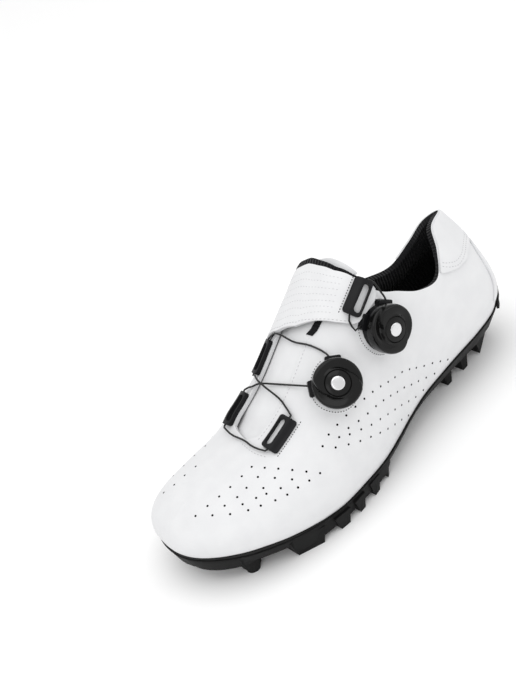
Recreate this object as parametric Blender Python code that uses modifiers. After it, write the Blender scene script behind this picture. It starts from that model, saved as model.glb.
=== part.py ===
"""Off-road cycling shoe for the left foot, standing empty on its lugs.

The toe points to -X, the lateral side is -Y and the floor is z = 0. The origin lies on the floor
under the middle of the shoe. The upper, the overlays, the tongue and the strap all come from one
form, a fan of ribs that run from the feather line, where upper meets sole, to the crown or collar.
"""

import math

import bmesh
import bpy
import numpy as np
from mathutils import Matrix, Vector

# Driving dimensions in metres
SHOE_LENGTH = 0.284
BALL_WIDTH = 0.098
HEEL_WIDTH = 0.064
FEATHER_HEIGHT = 0.031
INSTEP_HEIGHT = 0.124
HEEL_HEIGHT = 0.103
UPPER_WALL = 0.0022
COLLAR_PAD = 0.0062
TONGUE_WALL = 0.0032
STRAP_WALL = 0.0024
OVERLAY_WALL = 0.0009
INSOLE_WALL = 0.0035
SOLE_THICKNESS = 0.014
DIAL_DIAMETER = 0.0295
DIAL_HEIGHT = 0.0095
DIAL_BASE_HEIGHT = 0.0045
DIAL_CAP_DIAMETER = 0.0080
CABLE_DIAMETER = 0.0012
GUIDE_LENGTH = 0.0225
GUIDE_WIDTH = 0.0112
GUIDE_HEIGHT = 0.0032
STUD_DIAMETER = 0.0125
STUD_HEIGHT = 0.0105
CLEARANCE = 0.0003
# How far the last is moved along x, y and z, so that the origin is under the middle of the outline
LAST_MOVE = (-0.0022, 0.0014, 0.0025)

# The last, one row a rib from toe to heel, as shares of the sizes above.
# along: share of the length from the toe. across: share of the half width there.
# high: share of FEATHER_HEIGHT, HEEL_HEIGHT or INSTEP_HEIGHT. out: degrees that the wall leans out
# at the feather line. rise, reach: handle lengths at foot and top, as shares of the rib's chord.
# dip: degrees below level of the handle at the top.
LATERAL_FOOT = np.array((
    (0.018, -0.10, 0.71, 28, 0.42, 0, 0.50),
    (0.036, 0.27, 0.69, 30, 0.42, 0, 0.50),
    (0.092, 0.61, 0.61, 30, 0.42, 0, 0.52),
    (0.165, 0.815, 0.50, 26, 0.42, 0, 0.54),
    (0.240, 0.925, 0.41, 20, 0.42, 0, 0.55),
    (0.317, 0.97, 0.355, 14, 0.42, 0, 0.55),
    (0.394, 0.945, 0.36, 10, 0.42, 0, 0.52),
    (0.465, 0.925, 0.39, 8, 0.42, 0, 0.45),
    (0.528, 0.94, 0.44, 6, 0.42, 0, 0.36),
    (0.585, 0.97, 0.51, 5, 0.42, 0, 0.28),
    (0.648, 0.985, 0.61, 5, 0.38, 62, 0.34),
    (0.711, 0.985, 0.73, 7, 0.36, 66, 0.32),
    (0.782, 0.97, 0.82, 10, 0.36, 70, 0.32),
    (0.852, 0.955, 0.90, 13, 0.36, 68, 0.34),
    (0.922, 0.845, 0.97, 15, 0.36, 62, 0.36),
    (0.972, 0.53, 1.00, 15, 0.36, 58, 0.36),
    (0.990, 0.00, 1.02, 14, 0.36, 56, 0.36),
))
MEDIAL_FOOT = np.array((
    (0.018, 0.10, 0.71, 28, 0.42, 0, 0.50),
    (0.034, 0.54, 0.69, 30, 0.42, 0, 0.50),
    (0.080, 0.79, 0.61, 30, 0.42, 0, 0.52),
    (0.155, 0.895, 0.50, 26, 0.42, 0, 0.52),
    (0.240, 0.92, 0.41, 20, 0.42, 0, 0.52),
    (0.317, 0.89, 0.355, 14, 0.42, 0, 0.52),
    (0.394, 0.81, 0.36, 10, 0.42, 0, 0.50),
    (0.465, 0.755, 0.39, 8, 0.42, 0, 0.46),
    (0.528, 0.765, 0.44, 6, 0.42, 0, 0.40),
    (0.585, 0.80, 0.51, 5, 0.42, 0, 0.34),
    (0.648, 0.87, 0.61, 5, 0.38, 62, 0.34),
    (0.711, 0.90, 0.73, 7, 0.36, 66, 0.32),
    (0.782, 0.93, 0.82, 10, 0.36, 70, 0.32),
    (0.852, 0.95, 0.90, 13, 0.36, 68, 0.34),
    (0.922, 0.84, 0.97, 15, 0.36, 62, 0.36),
    (0.970, 0.50, 1.00, 15, 0.36, 58, 0.36),
    (0.990, 0.00, 1.02, 14, 0.36, 56, 0.36),
))
# Crown of the arch, over ribs 0 to 9: along, across, high
CROWN = np.array((
    (0.088, 0.12, 0.372),
    (0.116, 0.12, 0.388),
    (0.160, 0.10, 0.405),
    (0.208, 0.07, 0.424),
    (0.258, 0.04, 0.452),
    (0.314, 0.02, 0.504),
    (0.374, 0.01, 0.590),
    (0.437, 0.00, 0.712),
    (0.512, 0.00, 0.858),
    (0.590, 0.00, 1.000),
))
# Collar, over ribs 10 to 16: along, across, high
LATERAL_COLLAR = np.array((
    (0.622, 0.64, 1.000),
    (0.678, 0.74, 0.888),
    (0.738, 0.74, 0.785),
    (0.795, 0.72, 0.765),
    (0.828, 0.56, 0.895),
    (0.858, 0.26, 0.990),
    (0.918, -0.03, 0.985),
))
MEDIAL_COLLAR = np.array((
    (0.615, 0.66, 0.945),
    (0.672, 0.72, 0.825),
    (0.742, 0.73, 0.745),
    (0.808, 0.71, 0.712),
    (0.862, 0.55, 0.810),
    (0.888, 0.27, 0.940),
    (0.918, 0.03, 0.985),
))
LAST_CROWN = len(CROWN) - 1
LAST_RIB = len(LATERAL_FOOT) - 1

# Throat edges: rib, and the share of the rib from foot to crown at which the quarter stops
QUARTER_EDGE = (
    (4.0, 1.0), (4.33, 0.94), (7.0, 0.94), (7.67, 0.90), (8.33, 0.80), (9.0, 0.74), (9.67, 0.90), (10.0, 1.0),
)
FLAP_EDGE = (
    (4.0, 1.0), (4.33, 0.83), (7.0, 0.82), (7.67, 0.80), (8.33, 0.76), (9.0, 0.72), (9.67, 0.88), (10.0, 1.0),
)
THROAT_START = 4.0
FLAP_LIFT = UPPER_WALL + 2 * CLEARANCE


def share_of(value, low, high):
    """Smooth step from 0 at low to 1 at high."""
    blend = min(max((value - low) / (high - low), 0.0), 1.0)
    return blend * blend * (3 - 2 * blend)


def between(table, at):
    """Straight-line value of a table of (key, value) rows."""
    keys, values = zip(*table)
    return float(np.interp(at, keys, values))


def length_at(share):
    """x of a share of the shoe's length from the toe."""
    return (share - 0.5) * SHOE_LENGTH + LAST_MOVE[0]


def half_width(share):
    """Half width of the last: ball width in front, heel width behind."""
    return 0.5 * (BALL_WIDTH + (HEEL_WIDTH - BALL_WIDTH) * share_of(share, 0.42, 0.66))


def placed(table, sign, height):
    """The table with along, across and high turned into x, y and z."""
    rows = table.astype(float).copy()
    rows[:, 0] = [length_at(row[0]) for row in table]
    rows[:, 1] = [sign * row[1] * half_width(row[0]) + LAST_MOVE[1] for row in table]
    rows[:, 2] = table[:, 2] * height + LAST_MOVE[2]
    return rows


def curve_row(rows, at):
    """A row and its slope on the smooth curve through rows, which has a spare row at each end."""
    i = min(int(at), len(rows) - 4)
    t = at - i
    a, b, c, d = rows[i:i + 4]
    first, second, third = c - a, 2 * a - 5 * b + 4 * c - d, 3 * b - a - 3 * c + d
    value = b + 0.5 * (first * t + second * t ** 2 + third * t ** 3)
    slope = 0.5 * (first + 2 * second * t + 3 * third * t ** 2)
    return value, slope


def last_rows():
    """Foot, crown and collar rows of both sides, each with its spare end rows."""
    feet = {-1: placed(LATERAL_FOOT, -1, FEATHER_HEIGHT), 1: placed(MEDIAL_FOOT, 1, FEATHER_HEIGHT)}
    collars = {-1: placed(LATERAL_COLLAR, -1, HEEL_HEIGHT), 1: placed(MEDIAL_COLLAR, 1, HEEL_HEIGHT)}
    crown = placed(CROWN, 1, INSTEP_HEIGHT)
    rows = {"crown": np.vstack((2 * crown[0] - crown[1], crown, 2 * crown[-1] - crown[-2]))}
    for side in (-1, 1):
        rows["foot", side] = np.vstack((feet[-side][1], feet[side], feet[-side][-2]))
        top = np.vstack((crown[-1], collars[side]))
        rows["collar", side] = np.vstack((2 * top[0] - top[1], top, collars[-side][-2]))
    return rows


LAST = last_rows()


def rib(side, station):
    """The four Bezier points of a rib, foot first. side is -1 lateral, 1 medial."""
    foot, along = curve_row(LAST["foot", side], station)
    outward = Vector((-side * along[1], side * along[0], 0)).normalized()
    if station <= LAST_CROWN:
        top, course = curve_row(LAST["crown"], station)
        slope = course[2] / course[0]
    else:
        top, slope = curve_row(LAST["collar", side], station - LAST_CROWN)[0], 0.0
    low, high = Vector(foot[:3]), Vector(top[:3])
    chord = (high - low).length
    out, dip = math.radians(foot[3]), math.radians(foot[5])
    level = Vector((low.x - high.x, low.y - high.y, (low.x - high.x) * slope)).normalized()
    if station > LAST_CROWN:
        level = level.lerp(outward, min(1.0, station - LAST_CROWN)).normalized()
    lower = low + (outward * math.sin(out) + Vector((0, 0, math.cos(out)))) * foot[4] * chord
    upper = high + (level * math.cos(dip) - Vector((0, 0, math.sin(dip)))) * foot[6] * chord
    return low, lower, upper, high


def form(side, station, share):
    """A point of the last's outer form, share 0 at the feather line and 1 at the crown or collar."""
    a, b, c, d = rib(side, station)
    rest = 1 - share
    return a * rest ** 3 + b * (3 * rest * rest * share) + c * (3 * rest * share * share) + d * share ** 3


def form_normal(side, station, share):
    """The form's outward normal."""
    step = 0.02
    low, high = max(station - step, 0.0), min(station + step, LAST_RIB)
    along = form(side, high, share) - form(side, low, share)
    rising = form(side, station, min(share + step, 1.0)) - form(side, station, max(share - step, 0.0))
    return (along.cross(rising) * -side).normalized()


def arch(station, across):
    """The form over both sides: across -1 lateral foot, 0 crown, 1 medial foot. Past the last
    crown rib it runs straight on, for the tongue's tip and the strap's end."""
    side = -1 if across < 0 else 1
    if station <= LAST_CROWN:
        return form(side, station, 1 - abs(across))
    step = 0.1
    end, before = arch(LAST_CROWN, across), arch(LAST_CROWN - step, across)
    return end + (end - before) * ((station - LAST_CROWN) / step)


def arch_normal(station, across):
    """Outward normal of the arch, the same from both sides of the crown."""
    step = 0.02
    along = arch(station + step, across) - arch(station - step, across)
    over = arch(station, across + step) - arch(station, across - step)
    return (over.cross(along) * -1).normalized()


def flap_lift(station, share):
    """How far the medial quarter stands off the form, to lie over the tongue."""
    length_part = share_of(station, THROAT_START, 4.8) * (1 - share_of(station, 9.2, 10.6))
    return FLAP_LIFT * length_part * share_of(share, 0.42, 0.72)


def stations(first, last, step=1 / 3):
    """Rib stations from first to last, on the grid that all layers of the shoe share."""
    inner = [i * step for i in range(int(LAST_RIB / step) + 1) if first + 0.02 < i * step < last - 0.02]
    return [first] + inner + [last]


parts = bpy.data.collections.new("cycling_shoe")
cutters = bpy.data.collections.new("cutters")


def start_scene():
    """Empties the scene and links the two collections."""
    for thing in list(bpy.data.objects):
        bpy.data.objects.remove(thing, do_unlink=True)
    bpy.context.scene.collection.children.link(parts)
    bpy.context.scene.collection.children.link(cutters)


def material(name, colour, roughness, metallic=0.0):
    """A Principled material."""
    made = bpy.data.materials.new(name)
    made.use_nodes = True
    shader = made.node_tree.nodes["Principled BSDF"]
    shader.inputs["Base Color"].default_value = (*colour, 1.0)
    shader.inputs["Roughness"].default_value = roughness
    shader.inputs["Metallic"].default_value = metallic
    return made


def add_object(name, mesh, skin=None, collection=parts):
    """Links a mesh as an object with its material."""
    made = bpy.data.objects.new(name, mesh)
    if skin:
        mesh.materials.append(skin)
    collection.objects.link(made)
    if collection == cutters:
        made.hide_render = True
        made.display_type = "WIRE"
    return made


def mesh_from(shape, name):
    """A mesh from a bmesh, smooth but sharp past 40 degrees."""
    mesh = bpy.data.meshes.new(name)
    shape.to_mesh(mesh)
    shape.free()
    mesh.shade_smooth()
    mesh.set_sharp_from_angle(angle=math.radians(40))
    return mesh


def add_grid(shape, rows, flip=False):
    """Quads over rows of points. Returns the vertices, row by row."""
    grid = [[shape.verts.new(point) for point in row] for row in rows]
    for upper_row, lower_row in zip(grid, grid[1:]):
        for j in range(len(upper_row) - 1):
            loop = [upper_row[j], upper_row[j + 1], lower_row[j + 1], lower_row[j]]
            shape.faces.new(loop[::-1] if flip else loop)
    return grid


def solidify(thing, wall, group=None, offset=-1):
    """Gives an open surface its wall, inward from the surface."""
    step = thing.modifiers.new("wall", "SOLIDIFY")
    step.thickness = wall
    step.offset = offset
    if group:
        step.vertex_group = group
        step.thickness_vertex_group = 0.0
    return step


def layer(name, skin, rows, wall, flip=False, collection=parts):
    """A solid sheet whose outer face is the grid of points in rows."""
    shape = bmesh.new()
    add_grid(shape, rows, flip)
    bmesh.ops.remove_doubles(shape, verts=shape.verts, dist=1e-6)
    thing = add_object(name, mesh_from(shape, name), skin, collection)
    solidify(thing, wall)
    return thing


def boolean(thing, cutter, operation):
    """Cuts or joins with another object, exactly."""
    step = thing.modifiers.new(operation.lower(), "BOOLEAN")
    step.operation = operation
    step.object = cutter
    step.solver = "EXACT"


def turned(name, profile, sides, skin, matrix, collection=parts):
    """A closed solid turned about its z axis from a profile of (radius, height) points."""
    shape = bmesh.new()
    spots = [shape.verts.new((radius, 0, height)) for radius, height in profile]
    for low, high in zip(spots, spots[1:]):
        shape.edges.new((low, high))
    bmesh.ops.remove_doubles(shape, verts=shape.verts, dist=1e-6)
    made = add_object(name, mesh_from(shape, name), skin, collection)
    spin = made.modifiers.new("turn", "SCREW")
    spin.steps = sides
    spin.render_steps = sides
    spin.use_merge_vertices = True
    spin.merge_threshold = 1e-5
    spin.use_normal_flip = True
    made.matrix_world = matrix
    return made


def baked(thing):
    """Turns the evaluated object into plain mesh, in world space."""
    bpy.context.view_layer.update()
    evaluated = thing.evaluated_get(bpy.context.evaluated_depsgraph_get())
    mesh = bpy.data.meshes.new_from_object(evaluated)
    mesh.transform(thing.matrix_world)
    name, skins, home = thing.name, list(thing.data.materials), thing.users_collection[0]
    bpy.data.objects.remove(thing, do_unlink=True)
    shape = bmesh.new()
    shape.from_mesh(mesh)
    bmesh.ops.remove_doubles(shape, verts=shape.verts, dist=1e-6)
    made = add_object(name, mesh_from(shape, name), collection=home)
    made.data.materials.clear()
    for skin in skins:
        made.data.materials.append(skin)
    return made


# Upper: one hollow leather-like shell, open underneath, along the throat and at the collar

UPPER_COLUMNS = 7


def padding(station, share):
    """Wall of the upper: plain, with a padded roll below the collar."""
    collar = share_of(station, 9.8, 11.2)
    roll = share_of(share, 0.50, 0.80) * (1 - 0.55 * share_of(share, 0.88, 1.0))
    return UPPER_WALL + (COLLAR_PAD - UPPER_WALL) * collar * roll


def quarter_top(side, station):
    """Share of the rib at which the upper ends: crown, throat edge or collar."""
    return between(QUARTER_EDGE if side < 0 else FLAP_EDGE, station)


def upper_point(side, station, share):
    """Outer face of the upper."""
    point = form(side, station, share)
    if side > 0:
        point = point + form_normal(side, station, share) * flap_lift(station, share)
    return point


def make_upper(skin):
    shape = bmesh.new()
    walls = {}
    for side in (-1, 1):
        rows = []
        for station in stations(0, LAST_RIB):
            top = quarter_top(side, station)
            shares = [top * i / UPPER_COLUMNS for i in range(UPPER_COLUMNS + 1)]
            rows.append([upper_point(side, station, share) for share in shares])
            for share, point in zip(shares, rows[-1]):
                walls[tuple(round(c, 6) for c in point)] = padding(station, share) / COLLAR_PAD
        add_grid(shape, rows, flip=side < 0)
    bmesh.ops.remove_doubles(shape, verts=shape.verts, dist=1e-6)
    thing = add_object("upper", mesh_from(shape, "upper"), skin)
    group = thing.vertex_groups.new(name="wall")
    for vertex in thing.data.vertices:
        weight = walls.get(tuple(round(c, 6) for c in vertex.co), UPPER_WALL / COLLAR_PAD)
        group.add([vertex.index], weight, "REPLACE")
    solidify(thing, COLLAR_PAD, "wall")
    return thing


# Outsole: a moulded rubber plate, thin at the waist, with block lugs and a toe bumper

OUTSOLE_EDGE = 0.0014
# rib station, plate thickness as a share of SOLE_THICKNESS, and how far its side slopes in below
SOLE_PLATE = (
    (0.0, 0.78, 0.0030),
    (2.0, 0.60, 0.0035),
    (4.0, 0.42, 0.0020),
    (6.0, 0.36, 0.0015),
    (8.0, 0.34, 0.0020),
    (9.5, 0.42, 0.0035),
    (11.0, 0.68, 0.0055),
    (13.0, 0.95, 0.0070),
    (16.0, 1.00, 0.0060),
)
# Lugs: name, x from toe to heel as shares of the length, where each stands across the sole from
# 0 at the lateral edge to 1 at the medial one (outer and inner edge), and the slope of its ends
LUGS = (
    ("fore_5", 0.182, 0.262, -0.02, 0.27, 0.0035),
    ("fore_4", 0.286, 0.330, -0.03, 0.20, 0.0030),
    ("fore_3", 0.345, 0.378, -0.03, 0.18, 0.0025),
    ("fore_2", 0.398, 0.432, -0.02, 0.17, 0.0025),
    ("fore_1", 0.452, 0.476, 0.00, 0.14, 0.0025),
    ("heel_front", 0.748, 0.785, 0.13, 0.36, 0.0030),
    ("heel_mid", 0.808, 0.846, 0.13, 0.36, 0.0030),
    ("heel_rear", 0.872, 0.972, 0.14, 0.40, 0.0040),
)
LUG_LEAN = 0.0010
LUG_ROOT = 0.0025
# Rubber that rises behind the heel: rib station, share of the rib
SOLE_LIP = ((14.4, 0.02), (15.0, 0.07), (15.6, 0.17), (16.0, 0.22))
SOLE_LIP_WALL = 0.0018
SOLE_LIP_ROOT = 0.0040
# Low ribs and bars under the plate: name, count, x of the first and last as shares of the length,
# width of one along x, inner and outer edge across the sole, and depth
RIBS = (
    ("heel_groove", 4, 0.800, 0.905, 0.0030, 0.40, 0.60, 0.0016),
    ("toe_bar", 2, 0.155, 0.200, 0.0040, 0.34, 0.66, 0.0030),
)
SPINE = (0.50, 0.72, 0.44, 0.56, 0.0024)

# Cleat slots, with a threaded nut at both ends of each
CLEAT_PLACE = 0.385
SLOT_LENGTH = 0.0300
SLOT_WIDTH = 0.0094
SLOT_DEPTH = 0.0034
SLOT_SPACING = 0.0150
NUT_DIAMETER = 0.0084
NUT_BORE = 0.0050
NUT_SPACING = 0.0150

# Toe studs: side, x as a share of the length, and place across the sole
TOE_STUDS = (("lateral", 0.118, 0.13), ("medial", 0.118, 0.84))
STUD_BOSS = 0.0012


def sole_edges(station, outset):
    """Lateral and medial edge of the sole at the feather line, pushed out by outset."""
    ends = []
    for side in (-1, 1):
        foot, along = curve_row(LAST["foot", side], station)
        outward = Vector((-side * along[1], side * along[0], 0)).normalized()
        ends.append(Vector(foot[:3]) + outward * outset)
    return ends


def sole_column(station):
    """Top and bottom of the plate at a station: lateral top, lateral foot, medial foot, medial top."""
    depth = between([row[:2] for row in SOLE_PLATE], station) * SOLE_THICKNESS
    inset = between([(row[0], row[2]) for row in SOLE_PLATE], station)
    drop = Vector((0, 0, CLEARANCE))
    lateral, medial = sole_edges(station, OUTSOLE_EDGE)
    lateral_low, medial_low = sole_edges(station, OUTSOLE_EDGE - inset)
    down = Vector((0, 0, depth))
    return lateral - drop, lateral_low - down, medial_low - down, medial - drop


def sole_plate(shape):
    """The plate as a loft of its columns, closed at toe and heel."""
    columns = [sole_column(station) for station in stations(0.12, LAST_RIB - 0.12, 1 / 2)]
    loops = [[shape.verts.new(point) for point in column] for column in columns]
    for front, rear in zip(loops, loops[1:]):
        for j in range(4):
            shape.faces.new((front[j], front[(j + 1) % 4], rear[(j + 1) % 4], rear[j]))
    shape.faces.new(loops[0][::-1])
    shape.faces.new(loops[-1])


def plate_bottom(x, across):
    """Lowest z of the plate above the point x along and across the sole, and its y."""
    best = min(stations(0.5, LAST_RIB - 0.5, 1 / 6), key=lambda at: abs(
        sole_column(at)[1].lerp(sole_column(at)[2], across).x - x))
    point = sole_column(best)[1].lerp(sole_column(best)[2], across)
    return point


def add_block(shape, corners_top, corners_bottom):
    """A six-sided block from four top and four bottom corners."""
    top = [shape.verts.new(corner) for corner in corners_top]
    bottom = [shape.verts.new(corner) for corner in corners_bottom]
    shape.faces.new(top)
    shape.faces.new(bottom[::-1])
    for j in range(4):
        shape.faces.new((top[(j + 1) % 4], top[j], bottom[j], bottom[(j + 1) % 4]))


def make_lug(name, front, rear, outer, inner, slope, medial):
    """One block lug: flat on the floor, its root sunk into the plate."""
    places = ((front, outer), (rear, outer), (rear, inner), (front, inner))
    top, bottom = [], []
    middle = 0.5 * (front + rear)
    for along, across in places:
        root = plate_bottom(length_at(along), 1 - across if medial else across)
        lean = LUG_LEAN if across == outer else 0.0
        toward = Vector((math.copysign(slope, middle - along), (-1 if medial else 1) * lean, 0))
        top.append(Vector((length_at(along), root.y, root.z + LUG_ROOT)))
        bottom.append(Vector((length_at(along) + toward.x, root.y + toward.y, 0)))
    return block_object(f"lug_{name}_{'medial' if medial else 'lateral'}", top, bottom)


def block_object(name, top, bottom):
    """A block as an object that joins the plate."""
    shape = bmesh.new()
    add_block(shape, top, bottom)
    bmesh.ops.recalc_face_normals(shape, faces=shape.faces)
    return add_object(name, mesh_from(shape, name), collection=cutters)


def low_block(name, front, rear, inner, outer, depth):
    """A low block that follows the plate's underside, its ends given in metres along x."""
    places = ((front, inner), (rear, inner), (rear, outer), (front, outer))
    roots = [Vector((x, *plate_bottom(x, across).yz)) for x, across in places]
    top = [root + Vector((0, 0, LUG_ROOT)) for root in roots]
    bottom = [root - Vector((0, 0, depth)) for root in roots]
    return block_object(name, top, bottom)


def lip_object():
    """The rubber that hugs the back of the heel, as an object that joins the plate."""
    rows = []
    course = [(-1, station) for station in stations(SOLE_LIP[0][0], LAST_RIB)]
    course += [(1, station) for side, station in reversed(course[:-1])]
    for side, station in course:
        outset = CLEARANCE + SOLE_LIP_WALL
        top = between(SOLE_LIP, station)
        row = [form(side, station, top * i / 4) + form_normal(side, station, top * i / 4) * outset for i in range(5)]
        rows.append([row[0] - Vector((0, 0, SOLE_LIP_ROOT))] + row)
    return layer("sole_lip", None, rows, SOLE_LIP_WALL, flip=True, collection=cutters)


def slot_middle(side):
    """Middle of a cleat slot on the plate's underside. side is -1 lateral, 1 medial."""
    root = plate_bottom(length_at(CLEAT_PLACE), 0.5)
    return Vector((length_at(CLEAT_PLACE), root.y + side * 0.5 * SLOT_SPACING, root.z))


def slot_cutter(side):
    """A cleat slot with round ends."""
    shape = bmesh.new()
    size = Matrix.Diagonal((SLOT_LENGTH, SLOT_WIDTH, 4 * SLOT_DEPTH, 1))
    bmesh.ops.create_cube(shape, size=1, matrix=size)
    upright = [edge for edge in shape.edges if abs(edge.verts[0].co.z - edge.verts[1].co.z) > SLOT_DEPTH]
    bmesh.ops.bevel(shape, geom=upright, offset=0.45 * SLOT_WIDTH, segments=2, affect="EDGES", profile=0.5)
    made = add_object(f"slot_{side}", mesh_from(shape, "slot"), collection=cutters)
    made.location = slot_middle(side) - Vector((0, 0, SLOT_DEPTH))
    return made


def stud_place(across):
    """Middle of a toe stud on the floor."""
    x = length_at(TOE_STUDS[0][1])
    return Vector((x, plate_bottom(x, across).y, 0))


def boss_object(side, across):
    """The round boss that a toe stud screws into."""
    low, high = STUD_HEIGHT + CLEARANCE, STUD_HEIGHT + 0.4 * SOLE_THICKNESS
    shape = bmesh.new()
    bmesh.ops.create_cone(shape, cap_ends=True, segments=24, radius1=STUD_DIAMETER / 2 + STUD_BOSS,
                          radius2=STUD_DIAMETER / 2 + 2 * STUD_BOSS, depth=high - low)
    made = add_object(f"boss_{side}", mesh_from(shape, "boss"), collection=cutters)
    made.location = stud_place(across) + Vector((0, 0, 0.5 * (low + high)))
    return made


def make_outsole(skin):
    shape = bmesh.new()
    sole_plate(shape)
    bmesh.ops.recalc_face_normals(shape, faces=shape.faces)
    thing = add_object("outsole", mesh_from(shape, "outsole"), skin)
    for side in (-1, 1):
        boolean(thing, slot_cutter(side), "DIFFERENCE")
    for side, along, across in TOE_STUDS:
        boolean(thing, boss_object(side, across), "UNION")
    boolean(thing, lip_object(), "UNION")
    for lug in LUGS:
        for medial in (False, True):
            boolean(thing, make_lug(*lug, medial), "UNION")
    for name, count, first, last, width, inner, outer, depth in RIBS:
        for i in range(count):
            front = length_at(first + (last - first) * i / (count - 1))
            boolean(thing, low_block(f"{name}_{i}", front, front + width, inner, outer, depth), "UNION")
    front, rear, inner, outer, depth = SPINE
    spine = low_block("spine", length_at(front), length_at(rear), inner, outer, depth)
    boolean(thing, spine, "UNION")
    return thing


def make_nuts(skin):
    """Four threaded rings in the cleat slots."""
    for side, side_name in ((-1, "lateral"), (1, "medial")):
        for end, end_name in ((-1, "front"), (1, "rear")):
            profile = (
                (NUT_BORE / 2, 0), (NUT_DIAMETER / 2, 0), (NUT_DIAMETER / 2, SLOT_DEPTH - CLEARANCE),
                (NUT_BORE / 2, SLOT_DEPTH - CLEARANCE), (NUT_BORE / 2, 0),
            )
            place = slot_middle(side) + Vector((end * 0.5 * NUT_SPACING, 0, 0))
            name = f"cleat_nut_{side_name}_{end_name}"
            turned(name, profile, 12, skin, Matrix.Translation(place))


def make_studs(skin):
    """Two screwed toe studs, hollowed below for a key."""
    radius = STUD_DIAMETER / 2
    for side, along, across in TOE_STUDS:
        profile = (
            (0, 0.22 * STUD_HEIGHT), (0.36 * radius, 0.22 * STUD_HEIGHT), (0.40 * radius, 0), (0.72 * radius, 0),
            (0.80 * radius, 0.35 * STUD_HEIGHT), (radius, 0.45 * STUD_HEIGHT), (radius, STUD_HEIGHT), (0, STUD_HEIGHT),
        )
        turned(f"toe_stud_{side}", profile, 16, skin, Matrix.Translation(stud_place(across)))


# Insole: a thin footbed on the outsole, clear of the upper's wall

INSOLE_GAP = 0.0016
INSOLE_ROUND = 0.0075
INSOLE_SPAN = (1.3, 15.0)
INSOLE_STEP = 1.0


def make_insole(skin):
    rows = []
    for station in stations(*INSOLE_SPAN, INSOLE_STEP):
        lateral, medial = sole_edges(station, 0.0)
        width = (medial - lateral).length
        rounded = 2 - share_of(station, INSOLE_SPAN[0], 3.0) - share_of(-station, -INSOLE_SPAN[1], -13.5)
        margin = (UPPER_WALL + INSOLE_GAP + INSOLE_ROUND * rounded) / width
        spots = (margin, 0.3, 0.5, 0.7, 1 - margin)
        lift = Vector((0, 0, INSOLE_WALL))
        rows.append([lateral.lerp(medial, spot) + lift for spot in spots])
    return layer("insole", skin, rows, INSOLE_WALL, flip=True)


# Tongue: padded, sewn edge to edge with the lateral quarter, and under the medial flap

TONGUE_FIRST = 3.4
TONGUE_STRAIGHT = 8.67
TONGUE_GAP = 0.0010
TONGUE_COLUMNS = 7
# Top edge of the tongue: how far across the arch, and the rib where it ends
TONGUE_TOP = ((-0.24, 9.26), (-0.10, 9.12), (0.06, 9.00), (0.15, 8.94), (0.28, 8.80))
# Medial edge, under the flap: rib station, and how far across the arch from the crown
TONGUE_MEDIAL = ((8.0, 0.34), (8.67, 0.30))


def tongue_level(station, across):
    """How far the tongue's face lies off the form: level with the quarter, below vamp and flap."""
    under_vamp = -(UPPER_WALL + 2 * CLEARANCE) * (1 - share_of(station, 4.4, 5.2))
    under_flap = flap_lift(station, 1 - across) - UPPER_WALL - 3 * CLEARANCE if across > 0.05 else 0.0
    return min(under_vamp, under_flap * share_of(across, 0.05, 0.14), 0.0)


def tongue_row(station, top=0.0):
    """Points across the tongue at a station, moved on by top (0 to 1) towards its top edge."""
    edge = quarter_top(-1, station) if station > QUARTER_EDGE[1][0] else QUARTER_EDGE[1][1]
    rib_length = (form(-1, station, 1.0) - form(-1, station, 0.5)).length / 0.5
    low, high = -(1 - edge - TONGUE_GAP / rib_length), between(TONGUE_MEDIAL, station)
    row = []
    for i in range(TONGUE_COLUMNS):
        across = low + (high - low) * i / (TONGUE_COLUMNS - 1)
        at = station + (between(TONGUE_TOP, across) - station) * top
        row.append(arch(at, across) + arch_normal(at, across) * tongue_level(at, across))
    return row


def make_tongue(skin):
    rows = [tongue_row(station) for station in stations(TONGUE_FIRST, TONGUE_STRAIGHT)]
    rows += [tongue_row(TONGUE_STRAIGHT, 0.5), tongue_row(TONGUE_STRAIGHT, 1.0)]
    return layer("tongue", skin, rows, TONGUE_WALL, flip=True)


# Overlays on the upper: a panel round the collar and a strip down the back of the heel

# Seam below the panel, and side edge of the strip: rib station, share of the rib
PANEL_SEAM = ((13.33, 0.955), (13.67, 0.84), (14.0, 0.74), (14.5, 0.65), (15.2, 0.59), (16.0, 0.56))
PANEL_TOP = 0.985
STRIP_EDGE = ((0.10, 14.05), (0.22, 14.5), (0.38, 14.9), (0.53, 15.6))
STRIP_FOOT = 0.10
OVERLAY_GAP = 1.8 * CLEARANCE
STRIP_TOP = 0.53


def overlay_point(side, station, share):
    """Outer face of an overlay, a clearance off the upper."""
    return form(side, station, share) + form_normal(side, station, share) * (OVERLAY_GAP + OVERLAY_WALL)


def make_collar_panel(skin):
    rows = []
    course = [(-1, station) for station in stations(PANEL_SEAM[0][0], LAST_RIB)]
    course += [(1, station) for side, station in reversed(course[:-1])]
    for side, station in course:
        seam = between(PANEL_SEAM, station)
        shares = [seam + (PANEL_TOP - seam) * i / 4 for i in range(5)]
        rows.append([overlay_point(side, station, share) for share in shares])
    return layer("collar_panel", skin, rows, OVERLAY_WALL, flip=True)


def make_heel_strip(skin):
    rows = []
    for i in range(6):
        rise = i / 5
        edge = between(STRIP_EDGE, STRIP_FOOT + (STRIP_TOP - STRIP_FOOT) * rise)
        row = []
        for j in range(-7, 8):
            station = LAST_RIB - (LAST_RIB - edge) * abs(j) / 7
            foot = max(STRIP_FOOT, between(SOLE_LIP, station) + 0.03)
            row.append(overlay_point(-1 if j < 0 else 1, station, foot + (STRIP_TOP - foot) * rise))
        rows.append(row)
    return layer("heel_strip", skin, rows, OVERLAY_WALL, flip=False)


# Top strap: from the medial side over the tongue to its rounded end by the upper dial

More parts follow.
